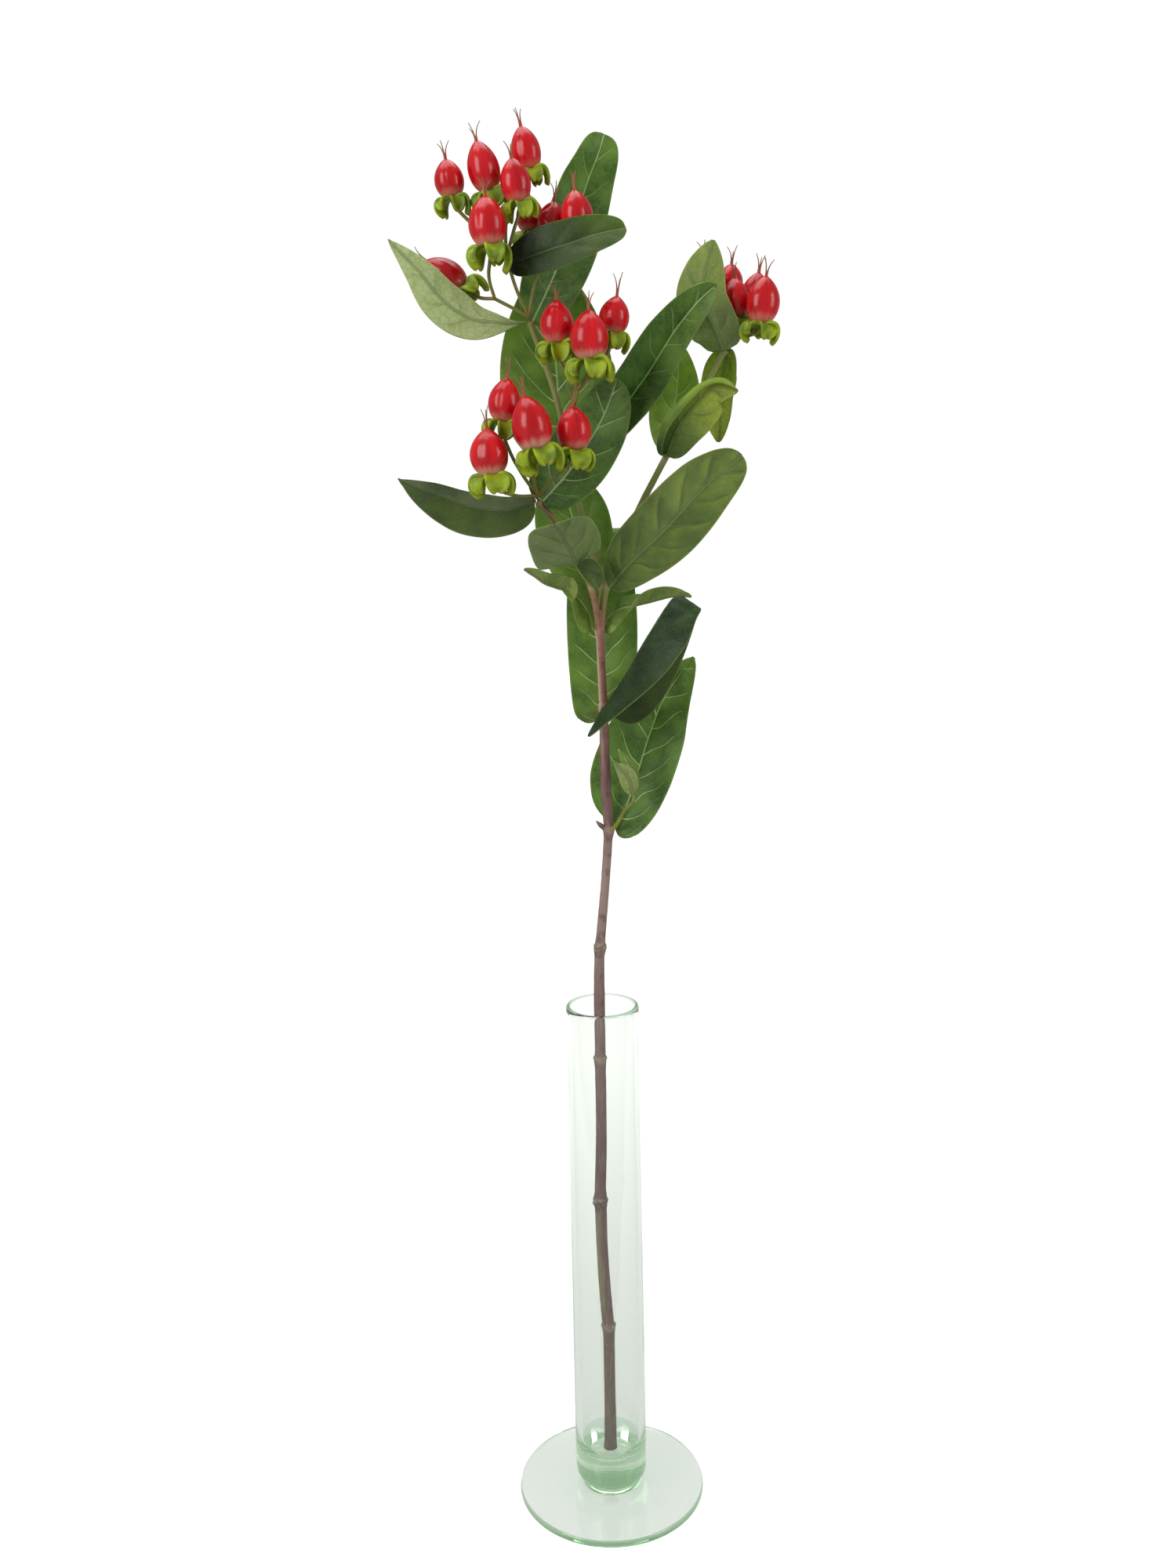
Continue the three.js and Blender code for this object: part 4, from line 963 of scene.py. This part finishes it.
def makeBerries():
    seeded = random.Random(11)
    pattern = berryPattern()
    dry = dryStyle()
    tufts = [stylePattern(k, seeded, dry) for k in range(styleShape["copies"])]
    for number, (base, tip, width, pale, *turn) in enumerate(berries):
        name = f"berry_{number + 1:02}"
        base, tip, wide = Vector(base) * mm, Vector(tip) * mm, width * mm
        anyTurn = seeded.uniform(-60, 60)
        stand = standing(base, tip, turn[0] if turn else anyTurn)
        size = Matrix.Diagonal((wide, wide, (tip - base).length, 1))
        body = copyPiece(pattern, name, stand @ size)
        for item in body.data.attributes["skin"].data:
            item.vector[1] = pale
        for item in body.data.attributes["around"].data:
            item.vector[2] += berryShape["grainStep"] * number
        crown = standing(tip, tip + (tip - base), seeded.uniform(0, 120))
        grown = crown @ Matrix.Diagonal((1, 1, seeded.uniform(0.75, 1), 1))
        tuft = copyPiece(tufts[number % len(tufts)], "tuft", grown)
        place(joinPieces(f"ripe_{name}", [body, tuft]), "berry", name)
    for spare in [pattern, *tufts]:
        bpy.data.objects.remove(spare)


makeBerries()
print(f"berries: {len(berries)}, each with its styles")


# Each stalk is its places in millimetres and the number of the berry it carries, if any.
sprays = {
    "stalks_top": [([(-21, 3.9, 455.8), (-27, 3, 459), (-33, 2, 462)], None),
        ([(-32.6, 2, 461.8), (-34, -4, 468)], 5), ([(-32.6, 2, 461.8), (-38, 3.5, 462.5)], 9),
        ([(-21, 3.9, 456), (-25, 1.5, 465), (-28, 0, 475.5)], None),
        ([(-28, 0, 475), (-25, -4, 483)], 4), ([(-28, 0, 475), (-24, 7, 480)], 6),
        ([(-28, 0, 475), (-31, 0, 486)], 2), ([(-28, 0, 475), (-38, 2, 485)], 1),
        ([(-28, 0, 475), (-28, 4.5, 487), (-26, 5, 497)], 3),
        ([(-21, 3.9, 456), (-18.5, 3, 467), (-16, 4, 474.5)], None), ([(-16, 4, 474)], 7),
        ([(-16.2, 4, 473.5), (-9, 2, 476)], 8)],
    "stalks_middle": [([(-8.8, 6.6, 407.6), (-8.4, 2, 415), (-4, -4, 430.5)], None),
        ([(-4, -4, 430), (-9, -4.5, 437)], 10), ([(-4, -4, 430)], 11),
        ([(-4, -4, 430), (5, -3.5, 439)], 12)],
    "stalks_left": [([(-19, -11.4, 393.8), (-27, -18, 394)], 15),
        ([(-19, -11.4, 393.6), (-20, -18, 399)], 14),
        ([(-19, -11.4, 393.8), (-24, -13, 401), (-28.5, -17, 410)], 13),
        ([(-19, -11.4, 393.6), (-14, -15, 399)], 16)],
    "stalks_right": [([(49.5, 1.7, 445), (54, 0.6, 447.5)], None), ([(53.5, 0.8, 447.3)], 20),
        ([(49.5, 1.7, 445.2)], 18), ([(53.5, 0.8, 447.3), (56, 4, 450.5)], 19),
        ([(49.5, 1.7, 445), (50, 8, 452)], 17), ([(49.5, 1.7, 445), (46, 5, 454)], 21)],
}
sepalShape = {
    "rows": 12,
    "half": 5,
    "thick": 1.1,  # millimetres
    "width": 7.6,
    "long": 5,
    "cup": 1.5,  # how far the edges turn in, like a spoon's
    "berry": 11,  # these sizes are for a berry this wide
    "sizes": (1.16, 0.78, 1.08, 0.74, 0.92),  # the five differ
    "path": [(0.8, 0, 0), (2.4, 0, 0.15), (3.8, 0, -0.4), (4.7, 0, -1.7), (4.7, 0, -3.3),
             (4, 0, -5)],
}
stalkWide = 0.62  # radius in millimetres


def greenStalk():
    # Soft green tissue: sepals plump and lime, stalks browner, each joint rusty.
    material, add = newMaterial("soft_green_calyx")
    marks = add("Attribute", attribute_name="sepal").outputs["Vector"]
    t, leafy, joint = add("SeparateXYZ", [marks]).outputs
    spot = add("TexCoord").outputs["Object"]
    cloud = add("TexNoise", {"Vector": spot, "Scale": 180, "Detail": 3})
    speck = add("TexNoise", {"Vector": spot, "Scale": 1500, "Detail": 3})
    ripe = add("MapRange", [cloud, 0.35, 0.65, 0, 1], **smooth)
    end = add("MapRange", [t, 0.75, 1, 0, 0.45], **smooth)
    fleck = add("MapRange", [speck, 0.62, 0.75, 0, 0.35], **smooth)
    lime = add("Mix", [ripe, "66800C", "9CB018"], **rgba)
    lime = add("Mix", [end, lime, "A69E26"], **rgba)
    colour = add("Mix", [cloud, "6E6A32", "8A8A42"], **rgba)
    for share, tint in ((leafy, lime), (joint, "8E5A34"), (fleck, "5E6A24")):
        colour = add("Mix", [share, colour, tint], **rgba)
    add("OutputMaterial", [add("BsdfPrincipled", {
        "Base Color": colour, "IOR": 1.42,
        "Roughness": add("MapRange", [speck, 0.3, 0.7, 0.4, 0.5], **smooth),
        "Subsurface Weight": 0.25, "Subsurface Radius": (0.7, 1, 0.2),
        "Subsurface Scale": 1.5 * mm, "Normal": add("Bump", {
            "Strength": 0.4, "Distance": 0.15 * mm, "Height": speck})})])
    return material


def sepalPattern():  # one sepal in millimetres: out along X from the seat, then bent down
    rows, half = sepalShape["rows"], sepalShape["half"]
    sepal = addGrid("sepal", rows, half)
    path = smoothPath([Vector(p) for p in sepalShape["path"]])
    for v in sepal.data.vertices:
        t, u = v.co.y + 0.5, 2 * v.co.x
        ahead = (pathAt(path, t + 0.02) - pathAt(path, t - 0.02)).normalized()
        out = Vector((ahead.z, 0, -ahead.x))  # the sepal's outer face
        share = max(sin(pi * (0.1 + 0.88 * t**1.25)), 0.04) ** 0.6
        wide = sepalShape["width"] / 2 * share
        cup = -sepalShape["cup"] * u * u * ease(t, 0, 0.5)
        v.co = (pathAt(path, t) + Vector((0, -u * wide, 0)) + out * cup) * mm
    paint(sepal, "sepal", [(0.5, 1, 0)] * len(sepal.data.vertices))
    wall = sepal.modifiers.new("wall", "SOLIDIFY")
    wall.thickness = sepalShape["thick"] * mm
    wall.offset = 0
    soft = sepal.modifiers.new("soft", "SUBSURF")
    soft.levels = soft.render_levels = 1
    applyModifiers(sepal)
    layer = sepal.data.attributes["sepal"].data
    for item, v in zip(layer, sepal.data.vertices):
        item.vector[0] = min(max(-v.co.z / mm / sepalShape["long"], 0), 1)
    return sepal


def calyx(sepal, base, tip, size, seeded):  # a small cone up to the berry, and five sepals
    select()
    bpy.ops.mesh.primitive_uv_sphere_add(segments=16, ring_count=10, radius=1)
    seat = bpy.context.object
    for v in seat.data.vertices:
        flare = mix(0.8, 2.2, ease(v.co.z, -1, 0.6))
        v.co.x *= flare
        v.co.y *= flare
    stand = standing(base * mm, tip * mm, 0)
    seat.data.transform(stand @ Matrix.Scale(size * mm, 4))
    paint(seat, "sepal", [(0, 1, 0)] * len(seat.data.vertices))
    parts = [seat]
    for k, own in enumerate(sepalShape["sizes"]):
        turn = 72 * k + seeded.uniform(-9, 9)
        grown = size * own * seeded.uniform(0.92, 1.08)
        flare = radians(seeded.uniform(-10, 8))
        shape = (stand @ Matrix.Rotation(radians(turn), 4, "Z")
                 @ Matrix.Rotation(flare, 4, "Y")
                 @ Matrix.Diagonal((size, grown * seeded.uniform(0.8, 1.1), grown, 1)))
        parts.append(copyPiece(sepal, "sepal", shape))
    return parts


def makeSprays(material):
    seeded = random.Random(23)
    sepal = sepalPattern()
    for name, stalks in sprays.items():
        parts = []
        for places, number in stalks:
            points = [Vector(p) for p in places]
            if number:
                base, tip, width = berries[number - 1][:3]
                base, tip = Vector(base), Vector(tip)
                axis = (tip - base).normalized()
                points += [base - axis * 0.15 * width, base - axis * 0.2]
            tube = addTube("stalk", [(*p, stalkWide) for p in points], 2, 6)
            start, seat = points[0] * mm, points[-2] * mm
            paint(tube, "sepal", [(
                0, 0.9 * ease(1 - (v.co - seat).length / (2.5 * mm), 0, 1) if number else 0,
                0.7 * bump((v.co - start).length, 0, 2 * mm)) for v in tube.data.vertices])
            parts.append(tube)
            if number:
                parts += calyx(sepal, base, tip, width / sepalShape["berry"], seeded)
        whole = joinPieces(f"green_{name}", parts)
        smoothed(whole, 60, material)
        place(whole, "stalk", name)
    bpy.data.objects.remove(sepal)


stalkMaterial = greenStalk()
makeSprays(stalkMaterial)
print("stalks: four sprays with their sepals")


shoot = {
    "stalk": [(5.2, 10.4, 270, 0.9), (6.5, 9.6, 271.4, 0.75), (10, 6, 278, 0.65), (13, 3, 282, 0.6),
              (13, 2.4, 286, 0.5)],
    "first": 30,  # numbers the leaflets on from the leaves, for their patterns
    "rows": 40,
    "half": 10,
    "blades": [
        dict(rib=[(13, 2.4, 285), (11, -1, 292), (6, -2, 298)], width=7, side=[(-0.7, 0, -0.6)],
            base=0.6, tip=0.9, lime=(0.4, 0.2), pale=0.6, veins=0.2, wave=0.4),
        dict(rib=[(13, 2.6, 285), (12.4, 6, 293), (8, 8, 301)], width=6, side=[(0.7, 0, 0.3)],
            base=0.6, tip=0.9, lime=(0.4, 0.5), veins=0.2, wave=0.4),
    ],
}


def makeShoot():
    parts = [makeBlade(f"leaflet{k}", leaf, shoot["first"] + k, shoot["rows"], shoot["half"])
             for k, leaf in enumerate(shoot["blades"])]
    stalk = addTube("shootStalk", shoot["stalk"], 3, 6)
    paint(stalk, "sepal", [(0, 0.25, 0)] * len(stalk.data.vertices))
    smoothed(stalk, 60, stalkMaterial)
    place(joinPieces("young_shoot", [*parts, stalk]), "leaf", "side_shoot")


makeShoot()
print("shoot: a green stalk with two leaflets")
